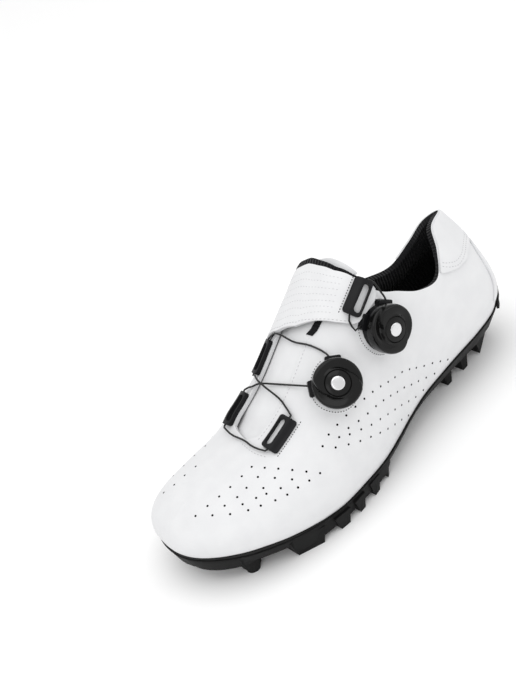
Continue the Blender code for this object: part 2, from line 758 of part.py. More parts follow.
# How far across the arch (negative is lateral), and the ribs of the front and rear edge there
STRAP_OUTLINE = (
    (-0.395, 8.85, 9.15),
    (-0.385, 8.65, 9.28),
    (-0.36, 8.32, 9.40),
    (-0.32, 8.12, 9.36),
    (-0.22, 7.88, 9.02),
    (-0.11, 7.70, 8.84),
    (0.0, 7.48, 8.80),
    (0.07, 7.32, 8.78),
    (0.13, 7.16, 8.70),
    (0.30, 6.98, 8.62),
    (0.45, 6.74, 8.66),
    (0.60, 6.66, 8.76),
)
STRAP_SPOTS = (
    -0.395, -0.385, -0.36, -0.32, -0.26, -0.20, -0.13, -0.06, 0.0, 0.07, 0.14, 0.22, 0.31, 0.40, 0.50, 0.60,
)
STRAP_GAP = 2 * CLEARANCE
STRAP_COLUMNS = 6


def strap_point(station, across):
    """Outer face of the strap: over the flap, and down to the quarter at its free end."""
    lift = FLAP_LIFT * share_of(across, -0.34, -0.04) if across < 0 else flap_lift(station, 1 - across)
    return arch(station, across) + arch_normal(station, across) * (lift + STRAP_GAP + STRAP_WALL)


def make_strap(skin):
    rows = []
    for across in STRAP_SPOTS:
        front = between([(row[0], row[1]) for row in STRAP_OUTLINE], across)
        rear = between([(row[0], row[2]) for row in STRAP_OUTLINE], across)
        rows.append([strap_point(front + (rear - front) * i / STRAP_COLUMNS, across)
                     for i in range(STRAP_COLUMNS + 1)])
    thing = layer("top_strap", skin, rows, STRAP_WALL)
    boolean(thing, dial_room("upper"), "DIFFERENCE")
    return thing


# Surfaces that carry hardware, as functions of rib station and share

def quarter(station, share):
    """Outer face of the lateral quarter."""
    return upper_point(-1, station, share)


def flap(station, share):
    """Outer face of the medial flap."""
    return upper_point(1, station, share)


def strap_top(station, share):
    """Outer face of the strap on its lateral half."""
    return strap_point(station, share - 1)


def spot_frame(surface, station, share):
    """Origin, heelward, crownward and outward axes of a spot."""
    origin = surface(station, share)
    heelward = (surface(station + 0.05, share) - surface(station - 0.05, share)).normalized()
    rising = surface(station, share + 0.02) - surface(station, share - 0.02)
    outward = heelward.cross(rising).normalized()
    if outward.dot(origin - Vector((origin.x, 0, 0.5 * INSTEP_HEIGHT * 0.5))) < 0:
        outward = -outward
    crownward = outward.cross(heelward)
    if crownward.dot(rising) < 0:
        crownward = -crownward
    return origin, heelward, crownward, outward


def beside(surface, station, share, turn, heelward, crownward):
    """Rib station and share of a point some way from a spot, along square axes turned on the surface."""
    _, heel_axis, crown_axis, _ = spot_frame(surface, station, share)
    angle = math.radians(turn)
    along_axis = heel_axis * math.cos(angle) + crown_axis * math.sin(angle)
    across_axis = crown_axis * math.cos(angle) - heel_axis * math.sin(angle)
    step = along_axis * heelward + across_axis * crownward
    by_station = (surface(station + 0.1, share) - surface(station - 0.1, share)) / 0.2
    by_share = (surface(station, share + 0.02) - surface(station, share - 0.02)) / 0.04
    aa, ab, bb = by_station.dot(by_station), by_station.dot(by_share), by_share.dot(by_share)
    sa, sb = step.dot(by_station), step.dot(by_share)
    spread = aa * bb - ab * ab
    return station + (sa * bb - sb * ab) / spread, share + (sb * aa - sa * ab) / spread


# Cable guides: moulded plates with a raised loop round an oval window and a channel for the cable

# Name, surface, rib station, share of the rib and turn on the surface in degrees
GUIDES = {
    "guide_lateral": (quarter, 4.78, 0.82, 4),
    "guide_medial_lower": (flap, 4.90, 0.755, 0),
    "guide_medial_upper": (flap, 6.46, 0.755, 0),
    "strap_guide": (strap_top, 8.72, 0.712, 180),
}
# Across the guide from its sewn flange to its crown edge: share of the width, share of the height
GUIDE_PROFILE = ((-0.50, 0.28), (-0.26, 0.42), (-0.18, 0.92), (-0.02, 1.0), (0.20, 0.88), (0.42, 0.85), (0.50, 0.55))
GUIDE_LENGTHS = (-0.50, -0.42, -0.14, 0.14, 0.42, 0.50)
GUIDE_WINDOW = (0.24, 0.70, 0.32)
WINDOW_SIDES = 12
GUIDE_CHANNEL = (-0.05, 0.52)


def guide_point(guide, heelward, crownward, height):
    """A point of a guide: heelward and crownward as shares of its size, height in metres."""
    surface, station, share, turn = GUIDES[guide]
    place = beside(surface, station, share, turn, heelward * GUIDE_LENGTH, crownward * GUIDE_WIDTH)
    origin, _, _, outward = spot_frame(surface, *place)
    return origin + outward * height


def channel_point(guide, heelward):
    """A point on the axis of a guide's channel."""
    height = CLEARANCE + GUIDE_CHANNEL[1] * GUIDE_HEIGHT
    return guide_point(guide, heelward, GUIDE_CHANNEL[0], height)


def make_guide(guide, skin, rooms):
    rows, low_rows = [], []
    for heelward in GUIDE_LENGTHS:
        ends = 1 - 0.22 * share_of(abs(heelward), 0.40, 0.50)
        rows.append([guide_point(guide, heelward, crownward, CLEARANCE + GUIDE_HEIGHT * high * ends)
                     for crownward, high in GUIDE_PROFILE])
        low_rows.append([guide_point(guide, heelward, crownward, CLEARANCE) for crownward, high in GUIDE_PROFILE])
    shape = bmesh.new()
    add_grid(shape, rows)
    add_grid(shape, low_rows, flip=True)
    bmesh.ops.bridge_loops(shape, edges=[edge for edge in shape.edges if edge.is_boundary])
    bmesh.ops.recalc_face_normals(shape, faces=shape.faces)
    thing = add_object(guide, mesh_from(shape, guide), skin)
    boolean(thing, window_cutter(guide), "DIFFERENCE")
    boolean(thing, rooms["upper" if guide == "strap_guide" else "lower"], "DIFFERENCE")
    return thing


def window_cutter(guide):
    """An oval prism through a guide."""
    middle, long_share, wide_share = GUIDE_WINDOW
    shape = bmesh.new()
    rings = []
    for height in (-GUIDE_HEIGHT, 2 * GUIDE_HEIGHT):
        ring = []
        for i in range(WINDOW_SIDES):
            angle = math.tau * i / WINDOW_SIDES
            heelward = 0.5 * long_share * math.copysign(abs(math.cos(angle)) ** 0.7, math.cos(angle))
            crownward = middle + 0.5 * wide_share * math.copysign(abs(math.sin(angle)) ** 0.8, math.sin(angle))
            ring.append(shape.verts.new(guide_point(guide, heelward, crownward, height)))
        rings.append(ring)
    shape.faces.new(rings[0])
    shape.faces.new(rings[1][::-1])
    for i in range(WINDOW_SIDES):
        j = (i + 1) % WINDOW_SIDES
        shape.faces.new((rings[0][i], rings[1][i], rings[1][j], rings[0][j]))
    bmesh.ops.recalc_face_normals(shape, faces=shape.faces)
    return add_object(f"{guide}_window", mesh_from(shape, f"{guide}_window"), collection=cutters)


def cord(name, points, radius, skin=None, collection=parts):
    """A round cord through the points."""
    curve = bpy.data.curves.new(name, "CURVE")
    curve.dimensions = "3D"
    curve.bevel_depth = radius
    curve.bevel_resolution = 2
    curve.use_fill_caps = True
    line = curve.splines.new("POLY")
    line.points.add(len(points) - 1)
    for node, point in zip(line.points, points):
        node.co = (*point, 1)
    return add_object(name, curve, skin, collection)


# Lace dials: a base with two cable ears, a scooped knob and a flat cap

# Rib station and share of the dial's middle, then for both ears the degrees, from heelward towards
# the crown, of the ear, of its cable at the rim and of the cable's end inside
DIALS = {
    "lower": (6.70, 0.64, (31, 38, 29), (124, 117, 118)),
    "upper": (9.00, 0.48, (74, 70, 63), (150, 157, 157)),
}
BASE_RADIUS = DIAL_DIAMETER / 2 - 0.0008
EAR_WIDTH = 0.0095
EAR_REACH = 0.0025
EAR_HEIGHT = 0.0040
SOCKET_HEIGHT = 0.0024
SOCKET_DEPTH = 0.0045
KNOB_SIDES = 26
BASE_DEPTH = 0.0055


def dial_matrix(dial):
    """World matrix of a dial's frame: x heelward, y towards the crown, z outward."""
    station, share = DIALS[dial][:2]
    origin, heelward, crownward, outward = spot_frame(quarter, station, share)
    across = outward.cross(heelward)
    return Matrix.Translation(origin) @ Matrix((heelward, across, outward)).transposed().to_4x4()


def dial_point(dial, degrees, radius, height):
    """A point in the world from polar places in a dial's frame, crownward counted positive."""
    matrix = dial_matrix(dial)
    crownward = spot_frame(quarter, *DIALS[dial][:2])[2]
    turn = 1 if matrix.col[1].to_3d().dot(crownward) > 0 else -1
    angle = math.radians(degrees) * turn
    return matrix @ Vector((radius * math.cos(angle), radius * math.sin(angle), height))


def make_dial_base(dial, skin, rooms):
    matrix = dial_matrix(dial)
    shape = bmesh.new()
    bmesh.ops.create_cone(shape, cap_ends=True, segments=KNOB_SIDES, radius1=BASE_RADIUS, radius2=BASE_RADIUS,
                          depth=BASE_DEPTH + DIAL_BASE_HEIGHT,
                          matrix=Matrix.Translation((0, 0, 0.5 * (DIAL_BASE_HEIGHT - BASE_DEPTH))))
    thing = add_object(f"dial_base_{dial}", mesh_from(shape, "dial_base"), skin)
    thing.matrix_world = matrix
    for number, ear in enumerate(DIALS[dial][2:]):
        boolean(thing, ear_block(dial, ear[0], number), "UNION")
    boolean(thing, quarter_cutter(dial), "DIFFERENCE")
    boolean(thing, rooms[dial], "DIFFERENCE")
    return thing


def dial_room(dial):
    """The round space that a dial's base and ears need."""
    shape = bmesh.new()
    radius = math.hypot(BASE_RADIUS + EAR_REACH, EAR_WIDTH / 2) + CLEARANCE
    bmesh.ops.create_cone(shape, cap_ends=True, segments=KNOB_SIDES, radius1=radius, radius2=radius,
                          depth=4 * DIAL_BASE_HEIGHT)
    made = add_object(f"room_{dial}", mesh_from(shape, "room"), collection=cutters)
    made.matrix_world = dial_matrix(dial)
    return made


def ear_block(dial, degrees, number):
    """A rounded block at the base's edge, where a cable goes in."""
    middle = dial_point(dial, degrees, BASE_RADIUS - 0.5 * EAR_REACH, 0)
    out = dial_point(dial, degrees, BASE_RADIUS, 0) - middle
    matrix = dial_matrix(dial)
    outward = matrix.col[2].to_3d()
    x_axis = out.normalized()
    turned = Matrix((x_axis, outward.cross(x_axis), outward)).transposed().to_4x4()
    shape = bmesh.new()
    size = Matrix.Diagonal((3 * EAR_REACH, EAR_WIDTH, BASE_DEPTH + EAR_HEIGHT, 1))
    bmesh.ops.create_cube(shape, size=1, matrix=Matrix.Translation((0, 0, 0.5 * (EAR_HEIGHT - BASE_DEPTH))) @ size)
    upright = [edge for edge in shape.edges if abs(edge.verts[0].co.z - edge.verts[1].co.z) > BASE_DEPTH]
    bmesh.ops.bevel(shape, geom=upright, offset=0.35 * EAR_REACH, segments=2, affect="EDGES", profile=0.5)
    name = f"ear_{dial}_{number}"
    made = add_object(name, mesh_from(shape, name), collection=cutters)
    made.matrix_world = Matrix.Translation(middle) @ turned
    return made


def quarter_cutter(dial):
    """The quarter's face with its clearance, as a thick body below a dial's base."""
    station, share = DIALS[dial][:2]
    rows = []
    for i in range(12):
        at = station - 1.15 + 0.25 * i
        row = []
        for j in range(12):
            high = share - 0.25 + (0.995 - share + 0.25) * j / 11
            origin, _, _, outward = spot_frame(quarter, at, high)
            row.append(origin + outward * 1.5 * CLEARANCE)
        rows.append(row)
    shape = bmesh.new()
    add_grid(shape, rows, flip=True)
    made = add_object(f"quarter_under_{dial}", mesh_from(shape, "quarter_under"), collection=cutters)
    solidify(made, BASE_DEPTH + 0.004)
    return made


# Half profile of the knob from its lower edge to its middle: shares of its radius and height
KNOB_PROFILE = (
    (0.0, 0.0), (0.95, 0.0), (0.985, 0.08), (1.0, 0.36), (0.985, 0.50), (0.94, 0.62),
    (0.78, 0.80), (0.58, 0.92), (0.40, 0.985),
)
KNOB_SCOOPS = (40, 220)
SCOOP_RADIUS = 0.042
SCOOP_DEPTH = 0.0016


def make_knob(dial, skin):
    bottom = DIAL_BASE_HEIGHT + CLEARANCE
    radius = DIAL_DIAMETER / 2
    pocket = DIAL_CAP_DIAMETER / 2 + CLEARANCE
    profile = [(radius * share, bottom + DIAL_HEIGHT * high) for share, high in KNOB_PROFILE]
    top = bottom + DIAL_HEIGHT
    profile += [(pocket, top), (pocket, top - CAP_DEPTH), (0, top - CAP_DEPTH)]
    thing = turned(f"dial_knob_{dial}", profile, KNOB_SIDES, skin, dial_matrix(dial))
    for number, degrees in enumerate(KNOB_SCOOPS):
        angle = math.radians(degrees)
        reach = radius - SCOOP_DEPTH
        shape = bmesh.new()
        bmesh.ops.create_uvsphere(shape, u_segments=28, v_segments=14, radius=SCOOP_RADIUS)
        name = f"scoop_{dial}_{number}"
        ball = add_object(name, mesh_from(shape, name), collection=cutters)
        centre = Vector((reach * math.cos(angle), reach * math.sin(angle), top + SCOOP_RADIUS - 0.0042))
        ball.matrix_world = dial_matrix(dial) @ Matrix.Translation(centre)
        boolean(thing, ball, "DIFFERENCE")
    return thing


CAP_DEPTH = 0.0012
CAP_RISE = 0.0006
CAP_SIDES = 16


def make_cap(dial, skin):
    top = DIAL_BASE_HEIGHT + CLEARANCE + DIAL_HEIGHT
    radius = DIAL_CAP_DIAMETER / 2
    profile = (
        (0, top - CAP_DEPTH + CLEARANCE), (radius, top - CAP_DEPTH + CLEARANCE), (radius, top),
        (0.9 * radius, top + 0.6 * CAP_RISE), (0.5 * radius, top + CAP_RISE), (0, top + CAP_RISE),
    )
    return turned(f"dial_cap_{dial}", profile, CAP_SIDES, skin, dial_matrix(dial))


# Lace cables, from dial to dial through the guides

CABLE_STEP = 2.9


def over(station, across, height):
    """A route point over the arch."""
    return arch(station, across) + arch_normal(station, across) * height


def through(guide, direction):
    """Route points through a guide, heelward (1) or toeward (-1)."""
    return [channel_point(guide, direction * share) for share in (-0.57, -0.42, -0.14, 0.14, 0.42, 0.57)]


def smooth_course(route):
    """Points every few diameters along a smooth curve through the route's own points."""
    rows = np.array([tuple(point) for point in route])
    rows = np.vstack((2 * rows[0] - rows[1], rows, 2 * rows[-1] - rows[-2]))
    dense = [Vector(curve_row(rows, i / 12)[0]) for i in range(12 * (len(route) - 1) + 1)]
    course, travelled = [dense[0]], 0.0
    for before, after in zip(dense, dense[1:]):
        travelled += (after - before).length
        if travelled >= CABLE_STEP * CABLE_DIAMETER:
            course.append(after)
            travelled = 0.0
    course[-1] = dense[-1]
    return course


def cable_end(dial, ear):
    """Two route points: a cable's end inside a dial's base, and its way out at the rim."""
    rim = BASE_RADIUS + EAR_REACH
    _, way_out, inside = DIALS[dial][2 + ear]
    return [dial_point(dial, inside, rim - SOCKET_DEPTH, SOCKET_HEIGHT), dial_point(dial, way_out, rim, SOCKET_HEIGHT)]


def lower_course():
    """Course of the cable of the lower dial, from its heelward ear to its crownward one."""
    route = cable_end("lower", 0)
    route += [over(7.15, -0.20, 0.0016), over(7.15, -0.10, 0.0014), over(7.15, 0.0, 0.0016)]
    route += [over(7.11, 0.09, 0.0038), over(7.08, 0.16, 0.0052), over(6.99, 0.215, 0.0048)]
    route += through("guide_medial_upper", -1)
    route += [over(5.94, 0.20, 0.0052), over(5.85, 0.13, 0.0060), over(5.78, 0.06, 0.0040)]
    route += [over(5.65, -0.06, 0.0016), over(5.47, -0.14, 0.0018)]
    route += through("guide_lateral", -1)
    route += [over(3.96, -0.10, 0.0020), over(3.94, -0.01, 0.0016), over(3.97, 0.10, 0.0026), over(4.12, 0.19, 0.0042)]
    route += through("guide_medial_lower", 1)
    route += [over(5.62, 0.19, 0.0042), over(5.78, 0.13, 0.0036), over(5.92, 0.05, 0.0020), over(6.08, -0.06, 0.0014)]
    return smooth_course(route + cable_end("lower", 1)[::-1])


def upper_course():
    """Course of the cable of the upper dial, through the guide on the strap."""
    route = cable_end("upper", 0)
    route += [over(9.50, -0.40, 0.0034), over(9.43, -0.34, 0.0048), over(9.34, -0.305, 0.0056)]
    route += through("strap_guide", 1)
    route += [over(8.07, -0.315, 0.0038), over(8.08, -0.355, 0.0030)]
    return smooth_course(route + cable_end("upper", 1)[::-1])


COURSES = {"lower": lower_course, "upper": upper_course}


def cable_room(dial):
    """The space that a cable needs, as a thicker cord along its course."""
    course = COURSES[dial]()
    course[0] += (course[0] - course[1]).normalized() * CLEARANCE
    course[-1] += (course[-1] - course[-2]).normalized() * CLEARANCE
    return baked(cord(f"cable_room_{dial}", course, CABLE_DIAMETER / 2 + CLEARANCE, collection=cutters))


def make_cables(skin):
    for dial, course in COURSES.items():
        cord(f"cable_{dial}", course(), CABLE_DIAMETER / 2, skin)


def main():
    start_scene()
    white = material("white_synthetic", (0.86, 0.87, 0.89), 0.42)
    rubber = material("black_rubber", (0.02, 0.02, 0.022), 0.55)
    lining = material("black_lining", (0.03, 0.03, 0.03), 0.9)
    plastic = material("black_plastic", (0.035, 0.035, 0.038), 0.45)
    gloss = material("gloss_black", (0.008, 0.008, 0.009), 0.12)
    silver = material("silver_cap", (0.72, 0.72, 0.73), 0.25, 1.0)
    steel = material("coated_cable", (0.05, 0.05, 0.05), 0.35, 0.4)
    nut = material("dark_nut", (0.25, 0.25, 0.25), 0.4, 1.0)
    make_upper(white)
    make_outsole(rubber)
    make_nuts(nut)
    make_studs(rubber)
    make_insole(lining)
    make_tongue(white)
    make_collar_panel(white)
    make_heel_strip(white)
    make_strap(white)
    rooms = {dial: cable_room(dial) for dial in DIALS}
    for guide in GUIDES:
        make_guide(guide, plastic, rooms)
    for dial in DIALS:
        make_dial_base(dial, plastic, rooms)
        make_knob(dial, gloss)
        make_cap(dial, silver)
    make_cables(steel)


main()
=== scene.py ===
import functools
import math

import bmesh
import bpy
import numpy as np
from mathutils import Matrix, Vector


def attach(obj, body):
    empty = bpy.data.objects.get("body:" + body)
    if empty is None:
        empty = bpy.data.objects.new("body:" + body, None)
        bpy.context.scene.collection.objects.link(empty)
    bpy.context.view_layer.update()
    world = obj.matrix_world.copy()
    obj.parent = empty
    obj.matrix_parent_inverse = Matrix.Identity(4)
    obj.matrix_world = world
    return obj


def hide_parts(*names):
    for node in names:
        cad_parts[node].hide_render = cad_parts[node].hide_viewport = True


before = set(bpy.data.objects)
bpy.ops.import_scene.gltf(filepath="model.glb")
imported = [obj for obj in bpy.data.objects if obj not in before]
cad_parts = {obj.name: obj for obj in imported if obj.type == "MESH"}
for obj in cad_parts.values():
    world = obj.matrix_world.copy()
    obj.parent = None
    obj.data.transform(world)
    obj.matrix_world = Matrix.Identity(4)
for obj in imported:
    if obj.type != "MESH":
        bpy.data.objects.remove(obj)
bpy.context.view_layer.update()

# Studio: a white floor under one broad overhead light and two weaker side lights. The camera looks
# from the toe's lateral side, tilted as the photograph is, and its shift only frames the shoe.
VIEW_TARGET = Vector((-0.0022, 0.0014, 0.0525))
VIEW_AZIMUTH = math.radians(-32.96)
VIEW_HEIGHT = math.radians(36.47)
VIEW_ROLL = math.radians(-18.96)
VIEW_DISTANCE = 0.7
FRAME_WIDTH, FRAME_HEIGHT = 516, 688
FOCAL_PIXELS = 1138.1
TARGET_PIXEL = (331.2, 380.8)
SKY_STRENGTH = 0.92
FLOOR_SIZE = 12
FLOOR_WHITE = 0.95

back = Vector((math.sin(VIEW_AZIMUTH) * math.cos(VIEW_HEIGHT),
               -math.cos(VIEW_AZIMUTH) * math.cos(VIEW_HEIGHT), math.sin(VIEW_HEIGHT)))
level = (-back).cross(Vector((0, 0, 1))).normalized()
upward = level.cross(-back)
tilted = level * math.cos(VIEW_ROLL) + upward * math.sin(VIEW_ROLL)
rising = upward * math.cos(VIEW_ROLL) - level * math.sin(VIEW_ROLL)
lens = bpy.data.cameras.new("camera")
lens.sensor_width = 36
lens.lens = FOCAL_PIXELS * lens.sensor_width / FRAME_HEIGHT
lens.shift_x = (FRAME_WIDTH / 2 - TARGET_PIXEL[0]) / FRAME_HEIGHT
lens.shift_y = (TARGET_PIXEL[1] - FRAME_HEIGHT / 2) / FRAME_HEIGHT
lens.clip_start = 0.01
camera = bpy.data.objects.new("camera", lens)
bpy.context.scene.collection.objects.link(camera)
camera.matrix_world = (Matrix.Translation(VIEW_TARGET + back * VIEW_DISTANCE)
                       @ Matrix((tilted, rising, back)).transposed().to_4x4())
bpy.context.scene.camera = camera
bpy.context.scene.view_settings.view_transform = "Standard"

world = bpy.data.worlds.new("studio")
world.use_nodes = True
world.node_tree.nodes["Background"].inputs["Color"].default_value = (1, 1, 1, 1)
world.node_tree.nodes["Background"].inputs["Strength"].default_value = SKY_STRENGTH
bpy.context.scene.world = world


def softbox(name, place, size, watts):
    """A square area light that faces the shoe."""
    bpy.ops.object.light_add(type="AREA", location=place)
    box = bpy.context.object
    box.name = name
    box.data.size = size
    box.data.energy = watts
    aim = VIEW_TARGET - Vector(place)
    box.rotation_mode = "QUATERNION"
    box.rotation_quaternion = aim.to_track_quat("-Z", "Y")


softbox("overhead", (-0.15, -0.10, 1.5), 1.6, 7.5)
softbox("toe_side", (-1.3, -0.9, 0.9), 0.8, 2.2)
softbox("heel_side", (0.9, -1.1, 0.7), 0.6, 1.3)

bpy.ops.object.select_all(action="DESELECT")
bpy.ops.mesh.primitive_plane_add(size=FLOOR_SIZE)
floor = bpy.context.object
floor.name = "floor"
floor_paint = bpy.data.materials.new("floor_paint")
floor_paint.use_nodes = True
shader = floor_paint.node_tree.nodes["Principled BSDF"]
shader.inputs["Base Color"].default_value = (FLOOR_WHITE, FLOOR_WHITE, FLOOR_WHITE, 1)
shader.inputs["Roughness"].default_value = 0.9
shader.inputs["Specular IOR Level"].default_value = 0.1
floor.data.materials.append(floor_paint)

# Upper: one shell of white coated microfibre over a black knitted lining, lasted over a form. It is
# open along the throat and at the collar, where the lining is rolled over a foam pad. The form is a
# fan of ribs from the sole's edge to the crown or collar, in shares of these sizes.
SHOE_LENGTH = 0.284
BALL_WIDTH = 0.098
HEEL_WIDTH = 0.064
FEATHER_HEIGHT = 0.031
INSTEP_HEIGHT = 0.124
HEEL_HEIGHT = 0.103
UPPER_WALL = 0.0022
COLLAR_PAD = 0.0062
CLEARANCE = 0.0003
LAST_MOVE = (-0.0022, 0.0014, 0.0025)
# For each rib: along, across and handle at the top of the lateral side, and of the medial side, then
# for both sides high, degrees of lean at the foot, handle at the foot, and degrees of dip at the top
RIBS = np.array((
    (0.018, -0.10, 0.50, 0.018, 0.10, 0.50, 0.71, 28, 0.42, 0),
    (0.036, 0.27, 0.50, 0.034, 0.54, 0.50, 0.69, 30, 0.42, 0),
    (0.092, 0.61, 0.52, 0.080, 0.79, 0.52, 0.61, 30, 0.42, 0),
    (0.165, 0.815, 0.54, 0.155, 0.895, 0.52, 0.50, 26, 0.42, 0),
    (0.240, 0.925, 0.55, 0.240, 0.92, 0.52, 0.41, 20, 0.42, 0),
    (0.317, 0.97, 0.55, 0.317, 0.89, 0.52, 0.355, 14, 0.42, 0),
    (0.394, 0.945, 0.52, 0.394, 0.81, 0.50, 0.36, 10, 0.42, 0),
    (0.465, 0.925, 0.45, 0.465, 0.755, 0.46, 0.39, 8, 0.42, 0),
    (0.528, 0.94, 0.36, 0.528, 0.765, 0.40, 0.44, 6, 0.42, 0),
    (0.585, 0.97, 0.28, 0.585, 0.80, 0.34, 0.51, 5, 0.42, 0),
    (0.648, 0.985, 0.34, 0.648, 0.87, 0.34, 0.61, 5, 0.38, 62),
    (0.711, 0.985, 0.32, 0.711, 0.90, 0.32, 0.73, 7, 0.36, 66),
    (0.782, 0.97, 0.32, 0.782, 0.93, 0.32, 0.82, 10, 0.36, 70),
    (0.852, 0.955, 0.34, 0.852, 0.95, 0.34, 0.90, 13, 0.36, 68),
    (0.922, 0.845, 0.36, 0.922, 0.84, 0.36, 0.97, 15, 0.36, 62),
    (0.972, 0.53, 0.36, 0.970, 0.50, 0.36, 1.00, 15, 0.36, 58),
    (0.990, 0.00, 0.36, 0.990, 0.00, 0.36, 1.02, 14, 0.36, 56),
))
LATERAL_FOOT = RIBS[:, (0, 1, 6, 7, 8, 9, 2)]
MEDIAL_FOOT = RIBS[:, (3, 4, 6, 7, 8, 9, 5)]
# along, across, high of the crown over ribs 0 to 9, and of the collar over ribs 10 to 16
CROWN = np.array((
    (0.088, 0.12, 0.372), (0.116, 0.12, 0.388), (0.160, 0.10, 0.405), (0.208, 0.07, 0.424),
    (0.258, 0.04, 0.452), (0.314, 0.02, 0.504), (0.374, 0.01, 0.590), (0.437, 0.00, 0.712),
    (0.512, 0.00, 0.858), (0.590, 0.00, 1.000),
))
LATERAL_COLLAR = np.array((
    (0.622, 0.64, 1.000), (0.678, 0.74, 0.888), (0.738, 0.74, 0.785), (0.795, 0.72, 0.765),
    (0.828, 0.56, 0.895), (0.858, 0.26, 0.990), (0.918, -0.03, 0.985),
))
MEDIAL_COLLAR = np.array((
    (0.615, 0.66, 0.945), (0.672, 0.72, 0.825), (0.742, 0.73, 0.745), (0.808, 0.71, 0.712),
    (0.862, 0.55, 0.810), (0.888, 0.27, 0.940), (0.918, 0.03, 0.985),
))
# Throat edges: rib, and the share of the rib at which the lateral quarter and the medial flap stop
QUARTER_EDGE = (
    (4.0, 1.0), (4.33, 0.94), (7.0, 0.94), (7.67, 0.90), (8.33, 0.80), (9.0, 0.74), (9.67, 0.90), (10.0, 1.0),
)
FLAP_EDGE = (
    (4.0, 1.0), (4.33, 0.83), (7.0, 0.82), (7.67, 0.80), (8.33, 0.76), (9.0, 0.72), (9.67, 0.88), (10.0, 1.0),
)
LAST_CROWN = 9
LAST_RIB = 16
FLAP_LIFT = UPPER_WALL + 2 * CLEARANCE
STATION_STEP = 0.02
SHARE_STEP = 0.02


def share_of(value, low, high):
    """Smooth step from 0 at low to 1 at high."""
    blend = min(max((value - low) / (high - low), 0.0), 1.0)
    return blend * blend * (3 - 2 * blend)


def between(table, at):
    """Straight-line value of a table of (key, value) rows."""
    keys, values = zip(*table)
    return float(np.interp(at, keys, values))


def placed(table, sign, height):
    """The table with along, across and high turned into x, y and z."""
    rows = table.astype(float).copy()
    rows[:, 0] = (table[:, 0] - 0.5) * SHOE_LENGTH + LAST_MOVE[0]
    for row, share in zip(rows, table[:, 0]):
        width = 0.5 * (BALL_WIDTH + (HEEL_WIDTH - BALL_WIDTH) * share_of(share, 0.42, 0.66))
        row[1] = sign * row[1] * width + LAST_MOVE[1]
    rows[:, 2] = table[:, 2] * height + LAST_MOVE[2]
    return rows


def curve_row(rows, at):
    """A row and its slope on the smooth curve through rows, which has a spare row at each end."""
    i = min(int(at), len(rows) - 4)
    t = at - i
    a, b, c, d = rows[i:i + 4]
    first, second, third = c - a, 2 * a - 5 * b + 4 * c - d, 3 * b - a - 3 * c + d
    value = b + 0.5 * (first * t + second * t ** 2 + third * t ** 3)
    return value, 0.5 * (first + 2 * second * t + 3 * third * t ** 2)


def last_rows():
    """Foot, crown and collar rows of both sides, each with its spare end rows."""
    feet = {-1: placed(LATERAL_FOOT, -1, FEATHER_HEIGHT), 1: placed(MEDIAL_FOOT, 1, FEATHER_HEIGHT)}
    collars = {-1: placed(LATERAL_COLLAR, -1, HEEL_HEIGHT), 1: placed(MEDIAL_COLLAR, 1, HEEL_HEIGHT)}
    crown = placed(CROWN, 1, INSTEP_HEIGHT)
    rows = {"crown": np.vstack((2 * crown[0] - crown[1], crown, 2 * crown[-1] - crown[-2]))}
    for side in (-1, 1):
        rows["foot", side] = np.vstack((feet[-side][1], feet[side], feet[-side][-2]))
        top = np.vstack((crown[-1], collars[side]))
        rows["collar", side] = np.vstack((2 * top[0] - top[1], top, collars[-side][-2]))
    return rows


LAST = last_rows()


def unit(vector):
    """The vector at length 1."""
    return vector / np.linalg.norm(vector)


@functools.lru_cache(maxsize=None)
def rib(side, station):
    """The four Bezier points of a rib, foot first. side is -1 lateral, 1 medial."""
    foot, along = curve_row(LAST["foot", side], station)
    outward = unit(np.array((-side * along[1], side * along[0], 0.0)))
    if station <= LAST_CROWN:
        top, course = curve_row(LAST["crown"], station)
        slope = course[2] / course[0]
    else:
        top, slope = curve_row(LAST["collar", side], station - LAST_CROWN)[0], 0.0
    low, high = foot[:3], top[:3]
    chord = np.linalg.norm(high - low)
    out, dip = math.radians(foot[3]), math.radians(foot[5])
    flat = unit(np.array((low[0] - high[0], low[1] - high[1], (low[0] - high[0]) * slope)))
    if station > LAST_CROWN:
        flat = unit(flat + (outward - flat) * min(1.0, station - LAST_CROWN))
    lower = low + (outward * math.sin(out) + np.array((0, 0, math.cos(out)))) * foot[4] * chord
    upper = high + (flat * math.cos(dip) - np.array((0, 0, math.sin(dip)))) * foot[6] * chord
    return low, lower, upper, high


def form(side, station, share):
    """A point of the last's outer form, share 0 at the sole's edge and 1 at the crown or collar."""
    a, b, c, d = rib(side, station)
    rest = 1 - share
    return a * rest ** 3 + b * (3 * rest * rest * share) + c * (3 * rest * share * share) + d * share ** 3


def form_normal(side, station, share):
    """The form's outward normal."""
    low, high = max(station - STATION_STEP, 0.0), min(station + STATION_STEP, LAST_RIB)
    along = form(side, high, share) - form(side, low, share)
    above = form(side, station, min(share + SHARE_STEP, 1.0))
    up = above - form(side, station, max(share - SHARE_STEP, 0.0))
    return unit(np.cross(along, up) * -side)


def flap_lift(station, share):
    """How far the medial quarter stands off the form, to lie over the tongue."""
    length_part = share_of(station, 4.0, 4.8) * (1 - share_of(station, 9.2, 10.6))
    return FLAP_LIFT * length_part * share_of(share, 0.42, 0.72)


def quarter(station, share):
    """Outer face of the lateral quarter."""
    return form(-1, station, share)


def flap(station, share):
    """Outer face of the medial quarter and its flap."""
    return form(1, station, share) + form_normal(1, station, share) * flap_lift(station, share)


def finish(name, colour, roughness, specular=0.5, metallic=0.0):
    """A new material and its shader."""
    made = bpy.data.materials.new(name)
    made.use_nodes = True
    shader = made.node_tree.nodes["Principled BSDF"]
    shader.inputs["Base Color"].default_value = (*colour, 1.0)
    shader.inputs["Roughness"].default_value = roughness
    shader.inputs["Specular IOR Level"].default_value = specular
    shader.inputs["Metallic"].default_value = metallic
    return made, shader


